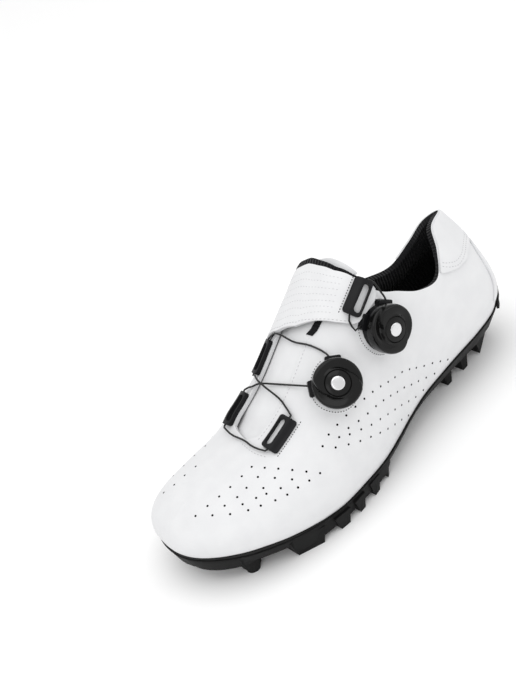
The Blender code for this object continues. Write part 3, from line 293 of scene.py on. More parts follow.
def grain(made, shader, scale, depth, strength=0.5, spread=None, tone=None):
    """Fine bumps, and slow changes of roughness (low, high) and of colour (dark, light)."""
    nodes, links = made.node_tree.nodes, made.node_tree.links
    place = nodes.new("ShaderNodeTexCoord")
    fine = nodes.new("ShaderNodeTexNoise")
    fine.inputs["Scale"].default_value = scale
    fine.inputs["Detail"].default_value = 4.0
    bump = nodes.new("ShaderNodeBump")
    bump.inputs["Strength"].default_value = strength
    bump.inputs["Distance"].default_value = depth
    links.new(place.outputs["Object"], fine.inputs["Vector"])
    links.new(fine.outputs["Fac"], bump.inputs["Height"])
    links.new(bump.outputs["Normal"], shader.inputs["Normal"])
    if not spread:
        return bump
    slow = nodes.new("ShaderNodeTexNoise")
    slow.inputs["Scale"].default_value = scale / 14
    slow.inputs["Detail"].default_value = 3.0
    links.new(place.outputs["Object"], slow.inputs["Vector"])
    reach = nodes.new("ShaderNodeMapRange")
    reach.inputs["From Min"].default_value = 0.3
    reach.inputs["From Max"].default_value = 0.7
    reach.inputs["To Min"].default_value = spread[0]
    reach.inputs["To Max"].default_value = spread[1]
    links.new(slow.outputs["Fac"], reach.inputs["Value"])
    links.new(reach.outputs["Result"], shader.inputs["Roughness"])
    if tone:
        ramp = nodes.new("ShaderNodeValToRGB")
        ramp.color_ramp.elements[0].position = 0.35
        ramp.color_ramp.elements[0].color = (*tone[0], 1)
        ramp.color_ramp.elements[1].position = 0.65
        ramp.color_ramp.elements[1].color = (*tone[1], 1)
        links.new(slow.outputs["Fac"], ramp.inputs["Fac"])
        links.new(ramp.outputs["Color"], shader.inputs["Base Color"])
    return bump


WHITE_TONES = (0.695, 0.698, 0.708), (0.722, 0.725, 0.733)
white, shader = finish("white_microfibre", WHITE_TONES[1], 0.45, 0.35)
grain(white, shader, 1300, 0.00004, 0.35, (0.42, 0.54), WHITE_TONES)

lining, shader = finish("black_knit_lining", (0.007, 0.007, 0.008), 0.9, 0.15)
shader.inputs["Sheen Weight"].default_value = 0.08
shader.inputs["Sheen Roughness"].default_value = 0.5
bump = grain(lining, shader, 2600, 0.0001, 0.5, (0.85, 0.95))
knit = lining.node_tree.nodes.new("ShaderNodeTexWave")
knit.inputs["Scale"].default_value = 130.0
knit.inputs["Distortion"].default_value = 1.2
knit.inputs["Detail"].default_value = 2.0
knit_bump = lining.node_tree.nodes.new("ShaderNodeBump")
knit_bump.inputs["Strength"].default_value = 0.9
knit_bump.inputs["Distance"].default_value = 0.0007
knit_place = lining.node_tree.nodes.new("ShaderNodeTexCoord")
lining.node_tree.links.new(knit_place.outputs["UV"], knit.inputs["Vector"])
lining.node_tree.links.new(knit.outputs["Fac"], knit_bump.inputs["Height"])
lining.node_tree.links.new(bump.outputs["Normal"], knit_bump.inputs["Normal"])
lining.node_tree.links.new(knit_bump.outputs["Normal"], shader.inputs["Normal"])

edge_core, shader = finish("cut_edge_core", (0.60, 0.60, 0.61), 0.8)
grain(edge_core, shader, 2400, 0.00008, 0.5, (0.7, 0.9))


def take_up(piece):
    """Makes a piece the only one selected, and the active one."""
    bpy.ops.object.select_all(action="DESELECT")
    piece.select_set(True)
    bpy.context.view_layer.objects.active = piece


def soften(piece, width, angle):
    """Rounds the edges of the active piece that turn by more than angle degrees."""
    soft = piece.modifiers.new("edge", "BEVEL")
    soft.width = width
    soft.segments = 3
    soft.limit_method = "ANGLE"
    soft.angle_limit = math.radians(angle)
    bpy.ops.object.modifier_apply(modifier="edge")


def travel(points):
    """Length of the way to each point from the first."""
    return np.cumsum([0.0] + [np.linalg.norm(b - a) for a, b in zip(points, points[1:])])


def sheet_piece(name, grids, wall, skins, edge, weights=None):
    """Sheet piece from grids of outer points as (rows, flip). Skins: face, back and cut edge."""
    shape = bmesh.new()
    run = shape.loops.layers.uv.new("run")
    share = shape.verts.layers.deform.verify()
    for number, (rows, flip) in enumerate(grids):
        rows = [[np.asarray(point, float) for point in row] for row in rows]
        along = travel([np.mean(row, 0) for row in rows])
        across = [travel(row) for row in rows]
        grid = [[shape.verts.new(point) for point in row] for row in rows]
        if weights:
            for spots, values in zip(grid, weights[number]):
                for spot, value in zip(spots, values):
                    spot[share][0] = value
        for i in range(len(grid) - 1):
            for j in range(len(grid[0]) - 1):
                corners = [(i, j), (i, j + 1), (i + 1, j + 1), (i + 1, j)]
                if flip:
                    corners.reverse()
                face = shape.faces.new([grid[a][b] for a, b in corners])
                for loop, (a, b) in zip(face.loops, corners):
                    loop[run].uv = (along[a], across[a][b])
    bmesh.ops.remove_doubles(shape, verts=shape.verts, dist=2e-5)
    mesh = bpy.data.meshes.new(name)
    shape.to_mesh(mesh)
    shape.free()
    piece = bpy.data.objects.new(name, mesh)
    bpy.context.scene.collection.objects.link(piece)
    for skin in skins:
        mesh.materials.append(skin)
    take_up(piece)
    solid = piece.modifiers.new("wall", "SOLIDIFY")
    solid.thickness = wall
    solid.offset = -1
    solid.material_offset = min(1, len(skins) - 1)
    solid.material_offset_rim = len(skins) - 1
    if weights:
        piece.vertex_groups.new(name="wall")
        solid.vertex_group = "wall"
        solid.thickness_vertex_group = 0.0
    bpy.ops.object.modifier_apply(modifier="wall")
    soften(piece, edge, 48)
    bpy.ops.object.shade_smooth_by_angle(angle=math.radians(50))
    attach(piece, "root")
    return piece


def padding(station, share):
    """Wall of the upper: plain, with a padded roll below the collar."""
    collar = share_of(station, 9.8, 11.2)
    roll = share_of(share, 0.50, 0.80) * (1 - 0.55 * share_of(share, 0.88, 1.0))
    return UPPER_WALL + (COLLAR_PAD - UPPER_WALL) * collar * roll


RIB_STEP = 1 / 8
UPPER_ROWS = 34
grids, weights = [], []
for side, edge_table in ((-1, QUARTER_EDGE), (1, FLAP_EDGE)):
    rows, walls = [], []
    for number in range(int(LAST_RIB / RIB_STEP) + 1):
        station = number * RIB_STEP
        top = between(edge_table, station)
        shares = [top * i / UPPER_ROWS for i in range(UPPER_ROWS + 1)]
        rows.append([quarter(station, share) if side < 0 else flap(station, share) for share in shares])
        walls.append([padding(station, share) / COLLAR_PAD for share in shares])
    grids.append((rows, side < 0))
    weights.append(walls)
upper = sheet_piece("upper_shell", grids, COLLAR_PAD, (white, lining, edge_core), 0.0007, weights)
# The lining runs on over the cut edge round the collar
FIRST_COLLAR_STATION = 9.9
collar_stations = np.linspace(FIRST_COLLAR_STATION, LAST_RIB, 60)
collar_line = np.array([form(side, station, 1.0) for side in (-1, 1) for station in collar_stations])
for face in upper.data.polygons:
    off_collar = np.linalg.norm(collar_line - np.array(face.center), axis=1).min()
    if face.material_index == 2 and off_collar < COLLAR_PAD:
        face.material_index = 1
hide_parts("upper")

# Pinholes: punched through the microfibre of quarter and toe in rows, with the black lining showing
# in them. Each is a thin black disc that lies on the face.
HOLE_DIAMETER = 0.00135
HOLE_LIFT = 0.00007
RUN_STEP = 0.0006
# surfaces, number of holes, and rib station and share of the places that the row runs through
HOLE_ROWS = (
    ((quarter, flap), 17, (
        (11.40, 0.07), (10.75, 0.18), (9.85, 0.26), (9.35, 0.245), (8.85, 0.245), (8.30, 0.29),
        (7.35, 0.39), (6.65, 0.455), (6.05, 0.505), (5.60, 0.53), (5.30, 0.52))),
    ((quarter, flap), 13, (
        (10.70, 0.07), (9.90, 0.14), (8.95, 0.165), (8.40, 0.21), (7.35, 0.31), (6.65, 0.37),
        (6.10, 0.43), (5.80, 0.45))),
    ((quarter, flap), 10, (
        (10.00, 0.04), (9.10, 0.08), (7.95, 0.17), (7.05, 0.26), (6.70, 0.30), (6.10, 0.39))),
    ((quarter, flap), 9, ((8.90, 0.02), (7.75, 0.11), (6.85, 0.21), (6.15, 0.31), (5.55, 0.43))),
    ((quarter,), 6, ((3.45, 0.81), (4.05, 0.65), (4.80, 0.40))),
    ((quarter,), 5, ((3.00, 0.80), (3.70, 0.64), (4.45, 0.42))),
    ((quarter,), 5, ((2.50, 0.78), (3.25, 0.63), (4.10, 0.44))),
    ((quarter,), 4, ((2.05, 0.76), (2.50, 0.68), (3.00, 0.58), (3.40, 0.47))),
    ((quarter,), 2, ((3.30, 0.56), (3.75, 0.45))),
    ((quarter,), 4, ((1.60, 0.73), (2.10, 0.66), (2.60, 0.59), (3.00, 0.50))),
    ((quarter,), 4, ((1.15, 0.68), (1.70, 0.62), (2.20, 0.56), (2.65, 0.52))),
    ((flap,), 4, ((2.60, 0.77), (2.25, 0.73), (1.90, 0.68), (1.70, 0.56))),
    ((flap,), 4, ((3.60, 0.62), (3.10, 0.56), (2.50, 0.50))),
    ((flap,), 5, ((4.10, 0.50), (3.50, 0.45), (2.80, 0.38))),
)


def facing(surface, first, second):
    """Point and outward normal at a spot of a surface."""
    point = surface(first, second)
    along = surface(first + STATION_STEP, second) - surface(first - STATION_STEP, second)
    over = surface(first, second + 0.01) - surface(first, second - 0.01)
    normal = unit(np.cross(along, over))
    inside = np.array((np.clip(point[0], -0.10, 0.10), LAST_MOVE[1], 0.045))
    if np.dot(normal, point - inside) < 0:
        normal = -normal
    return point, normal


def run_on(surface, spots, pitch=None, count=None, lift=0.0):
    """Matrices at even steps on the smooth course through spots: x along it, z outward."""
    rows = np.array(spots, float)
    rows = np.vstack((2 * rows[0] - rows[1], rows, 2 * rows[-1] - rows[-2]))
    fine = np.array([curve_row(rows, i / 24)[0] for i in range(24 * (len(spots) - 1) + 1)])
    travelled = travel([surface(*spot) for spot in fine])
    count = count or max(2, int(round(travelled[-1] / pitch)) + 1)
    matrices = []
    for goal in np.linspace(0, travelled[-1], count):
        behind, spot, ahead = [
            [np.interp(way, travelled, fine[:, i]) for i in (0, 1)]
            for way in (max(goal - RUN_STEP, 0), goal, min(goal + RUN_STEP, travelled[-1]))]
        point, normal = facing(surface, *spot)
        along = unit(surface(*ahead) - surface(*behind))
        aside = unit(np.cross(normal, along))
        along = np.cross(aside, normal)
        matrices.append(seat(point + normal * lift, along, aside, normal))
    return matrices


def seat(origin, ahead, aside, outward):
    """Matrix that puts a model at origin, with its x, y and z along these axes."""
    turn = Matrix((Vector(ahead), Vector(aside), Vector(outward))).transposed().to_4x4()
    return Matrix.Translation(origin) @ turn


def copies(name, model, matrices, skin):
    """One piece made of copies of a small model, which is removed."""
    corners = np.array([vertex.co for vertex in model.data.vertices])
    faces = [tuple(face.vertices) for face in model.data.polygons]
    points, loops = [], []
    for number, matrix in enumerate(matrices):
        turn = np.array(matrix)
        points.extend(corners @ turn[:3, :3].T + turn[:3, 3])
        loops.extend(tuple(index + number * len(corners) for index in face) for face in faces)
    bpy.data.objects.remove(model, do_unlink=True)
    mesh = bpy.data.meshes.new(name)
    mesh.from_pydata([tuple(point) for point in points], [], loops)
    mesh.shade_smooth()
    mesh.materials.append(skin)
    piece = bpy.data.objects.new(name, mesh)
    bpy.context.scene.collection.objects.link(piece)
    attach(piece, "root")
    return piece


pit_black, shader = finish("pinhole_black", (0.004, 0.004, 0.004), 0.9, 0.05)
grain(pit_black, shader, 3000, 0.00005, 0.4)
bpy.ops.object.select_all(action="DESELECT")
bpy.ops.mesh.primitive_cylinder_add(
    vertices=14, radius=HOLE_DIAMETER / 2, depth=HOLE_LIFT, end_fill_type="NGON")
matrices = []
for surfaces, count, spots in HOLE_ROWS:
    for surface in surfaces:
        matrices += run_on(surface, spots, count=count, lift=HOLE_LIFT / 2)
copies("pinholes", bpy.context.object, matrices, pit_black)

# Tongue: white microfibre over thin foam, lined in black. It is sewn edge to edge to the quarter,
# and its medial side is tucked under the flap.
TONGUE_WALL = 0.0032
TONGUE_FIRST = 3.4
TONGUE_STRAIGHT = 8.67
SEAM_GAP = 0.00004
TONGUE_COLUMNS = 24
# place across the arch and rib station of the top edge, then station and place of the medial edge
TONGUE_TOP = ((-0.24, 9.26), (-0.10, 9.12), (0.06, 9.00), (0.15, 8.94), (0.28, 8.80))
TONGUE_MEDIAL = ((8.0, 0.34), (8.67, 0.30))


def arch(station, across):
    """The form over both sides: across -1 lateral foot, 0 crown, 1 medial foot, straight on past rib 9."""
    side = -1 if across < 0 else 1
    if station <= LAST_CROWN:
        return form(side, station, 1 - abs(across))
    end, before = arch(LAST_CROWN, across), arch(LAST_CROWN - 0.1, across)
    return end + (end - before) * ((station - LAST_CROWN) / 0.1)


def arch_normal(station, across):
    """Outward normal of the arch, the same from both sides of the crown."""
    along = arch(station + STATION_STEP, across) - arch(station - STATION_STEP, across)
    over = arch(station, across + SHARE_STEP) - arch(station, across - SHARE_STEP)
    return -unit(np.cross(over, along))


def tongue_level(station, across):
    """How far the tongue's face lies off the form: level with the quarter, below vamp and flap."""
    under_vamp = -(UPPER_WALL + 2 * CLEARANCE) * (1 - share_of(station, 4.4, 5.2))
    under_flap = flap_lift(station, 1 - across) - UPPER_WALL - 3 * CLEARANCE if across > 0.05 else 0.0
    return min(under_vamp, under_flap * share_of(across, 0.05, 0.14), 0.0)


def tongue_row(station, top=0.0):
    """Points across the tongue at a station, moved on by top (0 to 1) towards its top edge."""
    edge = between(QUARTER_EDGE, station) if station > QUARTER_EDGE[1][0] else QUARTER_EDGE[1][1]
    rib_length = np.linalg.norm(form(-1, station, 1.0) - form(-1, station, 0.5)) / 0.5
    low, high = -(1 - edge - SEAM_GAP / rib_length), between(TONGUE_MEDIAL, station)
    row = []
    for i in range(TONGUE_COLUMNS):
        across = low + (high - low) * i / (TONGUE_COLUMNS - 1)
        at = station + (between(TONGUE_TOP, across) - station) * top
        row.append(arch(at, across) + arch_normal(at, across) * tongue_level(at, across))
    return row


rows = [tongue_row(station) for station in np.arange(TONGUE_FIRST, TONGUE_STRAIGHT, RIB_STEP)]
rows += [tongue_row(TONGUE_STRAIGHT, top) for top in (0.0, 0.25, 0.5, 0.75, 1.0)]
tongue = sheet_piece("tongue_pad", [(rows, True)], TONGUE_WALL, (white, lining, white), 0.0003)
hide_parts("tongue")

# Collar panel and heel strip: thin white film bonded over collar and heel, each with a raised edge.
# The panel's seam and the strip's edges are given by rib station and share of the rib.
OVERLAY_WALL = 0.0009
OVERLAY_GAP = 1.8 * CLEARANCE
PANEL_SEAM = ((13.33, 0.955), (13.67, 0.84), (14.0, 0.74), (14.5, 0.65), (15.2, 0.59), (16.0, 0.56))
STRIP_FOOT, STRIP_TOP = 0.10, 0.53
STRIP_EDGE = ((0.10, 14.05), (0.22, 14.5), (0.38, 14.9), (0.53, 15.6))
SOLE_LIP = ((14.4, 0.02), (15.0, 0.07), (15.6, 0.17), (16.0, 0.22))


def overlay_point(side, station, share):
    """Outer face of an overlay, bonded to the upper."""
    return form(side, station, share) + form_normal(side, station, share) * (OVERLAY_GAP + OVERLAY_WALL)


course = [(-1, station) for station in np.linspace(13.33, 16, 24)]
course += [(1, station) for side, station in reversed(course[:-1])]
rows = []
for side, station in course:
    seam = between(PANEL_SEAM, station)
    rows.append([overlay_point(side, station, seam + (0.985 - seam) * i / 12) for i in range(13)])
panel = sheet_piece("collar_panel_film", [(rows, True)], OVERLAY_WALL + OVERLAY_GAP, (white,), 0.0004)
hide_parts("collar_panel")
rows = []
for i in range(13):
    rise = i / 12
    edge = between(STRIP_EDGE, STRIP_FOOT + (STRIP_TOP - STRIP_FOOT) * rise)
    row = []
    for j in range(-16, 17):
        station = LAST_RIB - (LAST_RIB - edge) * abs(j) / 16
        foot = max(STRIP_FOOT, between(SOLE_LIP, station) + 0.03)
        row.append(overlay_point(-1 if j < 0 else 1, station, foot + (STRIP_TOP - foot) * rise))
    rows.append(row)
strip = sheet_piece("heel_strip_film", [(rows, False)], OVERLAY_WALL + OVERLAY_GAP, (white,), 0.0004)
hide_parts("heel_strip")

# Seam tab: the end of the black lining, which shows as a small tab at the tongue's seam in front of
# the strap. It is thin cloth, bonded to the quarter.
TAB_EDGE = ((7.36, 0.905), (7.5, 0.885), (7.78, 0.872))
TAB_WIDTH = 0.045
TAB_WALL = 0.0007
rows = []
for station in np.linspace(TAB_EDGE[0][0], TAB_EDGE[-1][0], 7):
    low = between(TAB_EDGE, station)
    raised = form_normal(-1, station, low) * TAB_WALL
    rows.append([quarter(station, low + TAB_WIDTH * i / 4) + raised for i in range(5)])
tab = sheet_piece("seam_tab", [(rows, True)], TAB_WALL, (lining,), 0.0002)

# Reflective heel mark: a four-sided piece of grey film, bonded to the upper beside the heel strip,
# on the medial side only.
MARK_WALL = 0.0003
FILM_TONES = (0.33, 0.33, 0.34), (0.40, 0.40, 0.41)
film, shader = finish("reflective_film", FILM_TONES[0], 0.35, metallic=0.4)
grain(film, shader, 3200, 0.00003, 0.5, (0.3, 0.42), FILM_TONES)
rows = []
for step in np.linspace(0, 1, 9):
    row = []
    for rise in np.linspace(0, 1, 7):
        station = 13.25 + 0.72 * step + 0.12 * rise
        share = 0.10 + 0.05 * step + (0.13 + 0.03 * step) * rise
        row.append(form(1, station, share) + form_normal(1, station, share) * MARK_WALL)
    rows.append(row)
mark = sheet_piece("heel_mark", [(rows, False)], 0.00028, (film,), 0.00008)

# Top strap: white microfibre from the medial side over the instep, lined in black. The lining
# shows as a rolled lip behind its rear edge, and the free end is round.
STRAP_WALL = 0.0024
STRAP_GAP = 2 * CLEARANCE
# place across the arch, and rib station of the front and of the rear edge there
STRAP_OUTLINE = (
    (-0.395, 8.85, 9.15), (-0.385, 8.65, 9.28), (-0.36, 8.32, 9.40), (-0.32, 8.12, 9.36),
    (-0.22, 7.88, 9.02), (-0.11, 7.70, 8.84), (0.0, 7.48, 8.80), (0.07, 7.32, 8.78),
    (0.13, 7.16, 8.70), (0.30, 6.98, 8.62), (0.45, 6.74, 8.66), (0.60, 6.66, 8.76),
)


def strap_face(station, across):
    """Outer face of the strap: over the flap, and down to the quarter at its free end."""
    lift = FLAP_LIFT * share_of(across, -0.34, -0.04) if across < 0 else flap_lift(station, 1 - across)
    return arch(station, across) + arch_normal(station, across) * (lift + STRAP_GAP + STRAP_WALL)


def strap_edges(across):
    """Rib station of the strap's front and rear edge."""
    return [between([(row[0], row[edge]) for row in STRAP_OUTLINE], across) for edge in (1, 2)]


rows = []
for across in np.concatenate((np.linspace(-0.395, -0.22, 20), np.linspace(-0.21, 0.60, 50))):
    front, rear = strap_edges(across)
    rows.append([strap_face(front + (rear - front) * i / 22, across) for i in range(23)])
strap = sheet_piece("top_strap_band", [(rows, False)], STRAP_WALL, (white, lining, white), 0.0006)
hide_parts("top_strap")

LIP_WALL = 0.0017
LIP_SUNK = (0.0009, 0.0008, 0.0005, 0.0001, 0.0002)
# place across the arch, and how many ribs the lip reaches behind the strap's rear edge
LIP_REACH = ((-0.30, 0.03), (-0.20, 0.07), (0.0, 0.12), (0.25, 0.20), (0.60, 0.20))
rows = []
for across in np.linspace(-0.30, 0.60, 64):
    rear, reach = strap_edges(across)[1], between(LIP_REACH, across)
    behind = (-0.14, -0.03, 0.3 * reach, 0.7 * reach, reach)
    row = []
    for back_by, sunk in zip(behind, LIP_SUNK):
        station = rear + back_by
        row.append(strap_face(station, across) - arch_normal(station, across) * sunk)
    rows.append(row)
lip = sheet_piece("strap_lip", [(rows, False)], LIP_WALL, (lining,), 0.0007)

# Perforation of the strap: rows of fine slits pressed into the microfibre along its length, shown by
# thin grey grains of the slits' shape, which are painted shade in the pressed slits.
SLIT_ROWS = 7
SLIT_PITCH = 0.0023
SLIT_SIZE = (0.0011, 0.00032, 0.0002)


def capsule(size):
    """A small rounded model with this length, width and height."""
    bpy.ops.object.select_all(action="DESELECT")
    bpy.ops.mesh.primitive_uv_sphere_add(segments=8, ring_count=6, radius=0.5)
    bpy.ops.object.mode_set(mode="EDIT")
    bpy.ops.mesh.select_all(action="SELECT")
    bpy.ops.transform.resize(value=size)
    bpy.ops.object.mode_set(mode="OBJECT")
    return bpy.context.object


slit_grey, shader = finish("slit_shade", (0.50, 0.50, 0.51), 0.8)
grain(slit_grey, shader, 3000, 0.00005, 0.4)
matrices = []
for i in range(SLIT_ROWS):
    spots = []
    for across in np.linspace(-0.17, 0.36, 8):
        front, rear = strap_edges(across)
        spots.append((front + (rear - front) * (0.17 + 0.70 * i / (SLIT_ROWS - 1)), across))
    matrices += run_on(strap_face, spots, pitch=SLIT_PITCH)
copies("strap_slits", capsule(SLIT_SIZE), matrices, slit_grey)

# Sole: black rubber moulded round the plate. Plate and lugs keep their shapes from the source. Low
# side rails join the front lugs, a bumper wraps the toe, and a thin lip of rubber rises on the upper.
OUTSOLE_EDGE = 0.0014
RAIL_WALL = 0.0055
BUMPER_WALL = 0.003
# rib station, z of the lower edge, and how far the face slopes in there
FORE_RAIL = (
    (3.30, 0.0062, 0.0012), (3.6, 0.0040, 0.0014), (5.0, 0.0034, 0.0016), (6.9, 0.0040, 0.0018),
    (7.2, 0.0085, 0.0018),
)
TOE_BUMPER = ((0.25, 0.0150, 0.0036), (0.8, 0.0128, 0.0030), (1.4, 0.0118, 0.0026), (1.95, 0.0116, 0.0024))
# rib station, height of the lip on the upper
LIP_HEIGHT = (
    (0.0, 0.0020), (1.0, 0.0021), (1.5, 0.0027), (1.9, 0.0036), (2.6, 0.0037), (3.4, 0.0023),
    (4.4, 0.0008), (5.0, 0.0004),
)
LIP_THICKNESS = 0.0009

RUBBER_TONES = (0.004, 0.004, 0.004), (0.010, 0.010, 0.010)
rubber, shader = finish("sole_rubber", RUBBER_TONES[0], 0.6, 0.16)
grain(rubber, shader, 700, 0.0001, 0.4, (0.5, 0.72), RUBBER_TONES)
steel, shader = finish("nut_steel", (0.22, 0.22, 0.23), 0.35, metallic=1.0)
grain(steel, shader, 1500, 0.00003, 0.3, (0.3, 0.5))
for name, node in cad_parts.items():
    if name.startswith(("outsole", "toe_stud")):
        node.data.materials[0] = rubber
    elif name.startswith("cleat_nut"):
        node.data.materials[0] = steel
    elif name == "insole":
        node.data.materials[0] = lining


def sole_edge(side, station, outset):
    """A point of the sole's edge at the feather line, pushed out by outset."""
    foot, along = curve_row(LAST["foot", side], station)
    return foot[:3] + unit(np.array((-side * along[1], side * along[0], 0.0))) * outset


def rail_row(side, station, table):
    """Points down the outside of a rail, from just below the plate's edge to its round lower edge."""
    low = between([row[:2] for row in table], station)
    slope = between([(row[0], row[2]) for row in table], station)
    top = sole_edge(side, station, OUTSOLE_EDGE - 0.0004) - np.array((0, 0, 0.0012))
    bottom = sole_edge(side, station, OUTSOLE_EDGE - slope)
    bottom[2] = low
    return [top + (bottom - top) * share for share in (0.0, 0.35, 0.7, 0.94, 1.0)]


def round_toe(first, last, count):
    """Side and rib station of places from the lateral side round the toe to the medial side."""
    lateral = [(-1, station) for station in np.linspace(last, first, count)]
    return lateral + [(1, station) for station in np.linspace(first, last, count)]


for side, side_name in ((-1, "lateral"), (1, "medial")):
    stations = np.linspace(FORE_RAIL[0][0], FORE_RAIL[-1][0], 40)
    rows = [rail_row(side, station, FORE_RAIL) for station in stations]
    rail = sheet_piece(f"sole_rail_{side_name}", [(rows, side > 0)], RAIL_WALL, (rubber,), 0.0006)
course = round_toe(0.05, TOE_BUMPER[-1][0], 24)
rows = [rail_row(side, station, TOE_BUMPER) for side, station in course]
bumper = sheet_piece("toe_bumper", [(rows, True)], BUMPER_WALL, (rubber,), 0.0006)
course = round_toe(LIP_HEIGHT[0][0], LIP_HEIGHT[-1][0], 60)
course.remove((1, 0.0))
rows = []
for side, station in course:
    foot, lower = rib(side, station)[:2]
    share = between(LIP_HEIGHT, station) / (3 * np.linalg.norm(lower - foot))
    row = [sole_edge(side, station, OUTSOLE_EDGE - 0.0001) - np.array((0, 0, 0.0010))]
    for rise in (0.0, 0.4, 0.8, 1.0):
        point, normal = form(side, station, share * rise), form_normal(side, station, share * rise)
        row.append(point + normal * LIP_THICKNESS * (1 - 0.5 * rise))
    rows.append(row)
toe_lip = sheet_piece("toe_lip", [(rows, False)], LIP_THICKNESS, (rubber,), 0.0002)

# Cable guides: moulded nylon loops with a long window. Their low flange is sewn to the upper, and
# the cable runs through a channel between flange and window.
GUIDE_LENGTH = 0.0225
GUIDE_WIDTH = 0.0112
GUIDE_HEIGHT = 0.0032
GUIDE_CORNER = 0.0020
GUIDE_EDGE = 0.0005
WINDOW_LENGTH = 0.0178
WINDOW_WIDTH = 0.0047
WINDOW_MIDDLE = 0.0024
# share of the guide's width, share of its height
GUIDE_HEIGHTS = ((-0.5, 0.34), (-0.30, 0.46), (-0.20, 0.90), (-0.05, 1.0), (0.25, 0.95), (0.5, 0.80))


def strap_top(station, share):
    """Outer face of the strap on its lateral half."""
    return strap_face(station, share - 1)


# surface, rib station, share of the rib, degrees of turn, and slide away from the flange
GUIDES = {
    "guide_lateral": (quarter, 4.78, 0.82, 4, 0.0),
    "guide_medial_lower": (flap, 4.90, 0.755, 0, 0.0),
    "guide_medial_upper": (flap, 6.46, 0.755, 0, 0.0),
    "strap_guide": (strap_top, 8.72, 0.712, 180, 0.0010),
}


def spot_axes(surface, station, share):
    """Origin, heelward, crownward and outward axes of a spot."""
    origin = surface(station, share)
    heelward = unit(surface(station + 0.05, share) - surface(station - 0.05, share))
    rising = surface(station, share + 0.02) - surface(station, share - 0.02)
    outward = unit(np.cross(heelward, rising))
    if np.dot(outward, origin - np.array((origin[0], 0, 0.25 * INSTEP_HEIGHT))) < 0:
        outward = -outward
    crownward = np.cross(outward, heelward)
    if np.dot(crownward, rising) < 0:
        crownward = -crownward
    return origin, heelward, crownward, outward


def beside(surface, station, share, turn, heelward, crownward):
    """Rib station and share of a point some way from a spot, along square axes turned on the surface."""
    _, heel_axis, crown_axis, _ = spot_axes(surface, station, share)
    angle = math.radians(turn)
    step = (heel_axis * math.cos(angle) + crown_axis * math.sin(angle)) * heelward
    step = step + (crown_axis * math.cos(angle) - heel_axis * math.sin(angle)) * crownward
    goal = surface(station, share) + step
    for _ in range(3):
        left = goal - surface(station, share)
        by_station = (surface(station + 0.05, share) - surface(station - 0.05, share)) / 0.1
        by_share = (surface(station, share + 0.01) - surface(station, share - 0.01)) / 0.02
        aa, ab, bb = np.dot(by_station, by_station), np.dot(by_station, by_share), np.dot(by_share, by_share)
        sa, sb = np.dot(left, by_station), np.dot(left, by_share)
        spread = aa * bb - ab * ab
        station += (sa * bb - sb * ab) / spread
        share += (sb * aa - sa * ab) / spread
    return station, share


nylon, shader = finish("guide_nylon", (0.005, 0.005, 0.006), 0.36, 0.20)
grain(nylon, shader, 2200, 0.00004, 0.4, (0.36, 0.5))
bpy.ops.object.select_all(action="DESELECT")
bpy.ops.mesh.primitive_cube_add(size=1)
loop = bpy.context.object
bpy.ops.object.mode_set(mode="EDIT")
bpy.ops.mesh.select_all(action="SELECT")
bpy.ops.transform.resize(value=(GUIDE_LENGTH, GUIDE_WIDTH, GUIDE_HEIGHT))
bpy.ops.mesh.select_mode(type="EDGE")
bpy.ops.mesh.select_all(action="DESELECT")
work = bmesh.from_edit_mesh(loop.data)
for edge in work.edges:
    edge.select = abs(edge.verts[0].co.z - edge.verts[1].co.z) > 0.5 * GUIDE_HEIGHT
bmesh.update_edit_mesh(loop.data)
bpy.ops.mesh.bevel(offset=GUIDE_CORNER, segments=6, affect="EDGES")
bpy.ops.mesh.select_mode(type="FACE")
bpy.ops.mesh.select_all(action="DESELECT")
work = bmesh.from_edit_mesh(loop.data)
for face in work.faces:
    face.select = abs(face.normal.z) > 0.9
bmesh.update_edit_mesh(loop.data)
bpy.ops.mesh.inset(thickness=0.5 * GUIDE_CORNER, use_individual=True)
work = bmesh.from_edit_mesh(loop.data)
for vert in {vert for face in work.faces if face.select for vert in face.verts}:
    bearing = math.atan2(
        abs(vert.co.y) - (GUIDE_WIDTH / 2 - GUIDE_CORNER), abs(vert.co.x) - (GUIDE_LENGTH / 2 - GUIDE_CORNER))
    half = WINDOW_WIDTH / 2
    vert.co.x = math.copysign(WINDOW_LENGTH / 2 - half + half * math.cos(bearing), vert.co.x)
    vert.co.y = WINDOW_MIDDLE + math.copysign(half * math.sin(bearing), vert.co.y)
bmesh.update_edit_mesh(loop.data)
bpy.ops.mesh.delete(type="ONLY_FACE")
bpy.ops.mesh.select_mode(type="EDGE")
bpy.ops.mesh.select_all(action="DESELECT")
bpy.ops.mesh.select_non_manifold()
bpy.ops.mesh.bridge_edge_loops()
bpy.ops.mesh.select_all(action="SELECT")
bpy.ops.mesh.normals_make_consistent(inside=False)
for share in (-0.35, -0.22, -0.08, 0.08, 0.22, 0.35):
    bpy.ops.mesh.select_all(action="SELECT")
    bpy.ops.mesh.bisect(plane_co=(share * GUIDE_LENGTH, 0, 0), plane_no=(1, 0, 0))
for share in (-0.30, -0.20, -0.05):
    bpy.ops.mesh.select_all(action="SELECT")
    bpy.ops.mesh.bisect(plane_co=(0, share * GUIDE_WIDTH, 0), plane_no=(0, 1, 0))
bpy.ops.object.mode_set(mode="OBJECT")
soften(loop, GUIDE_EDGE, 50)
loop.data.materials.append(nylon)
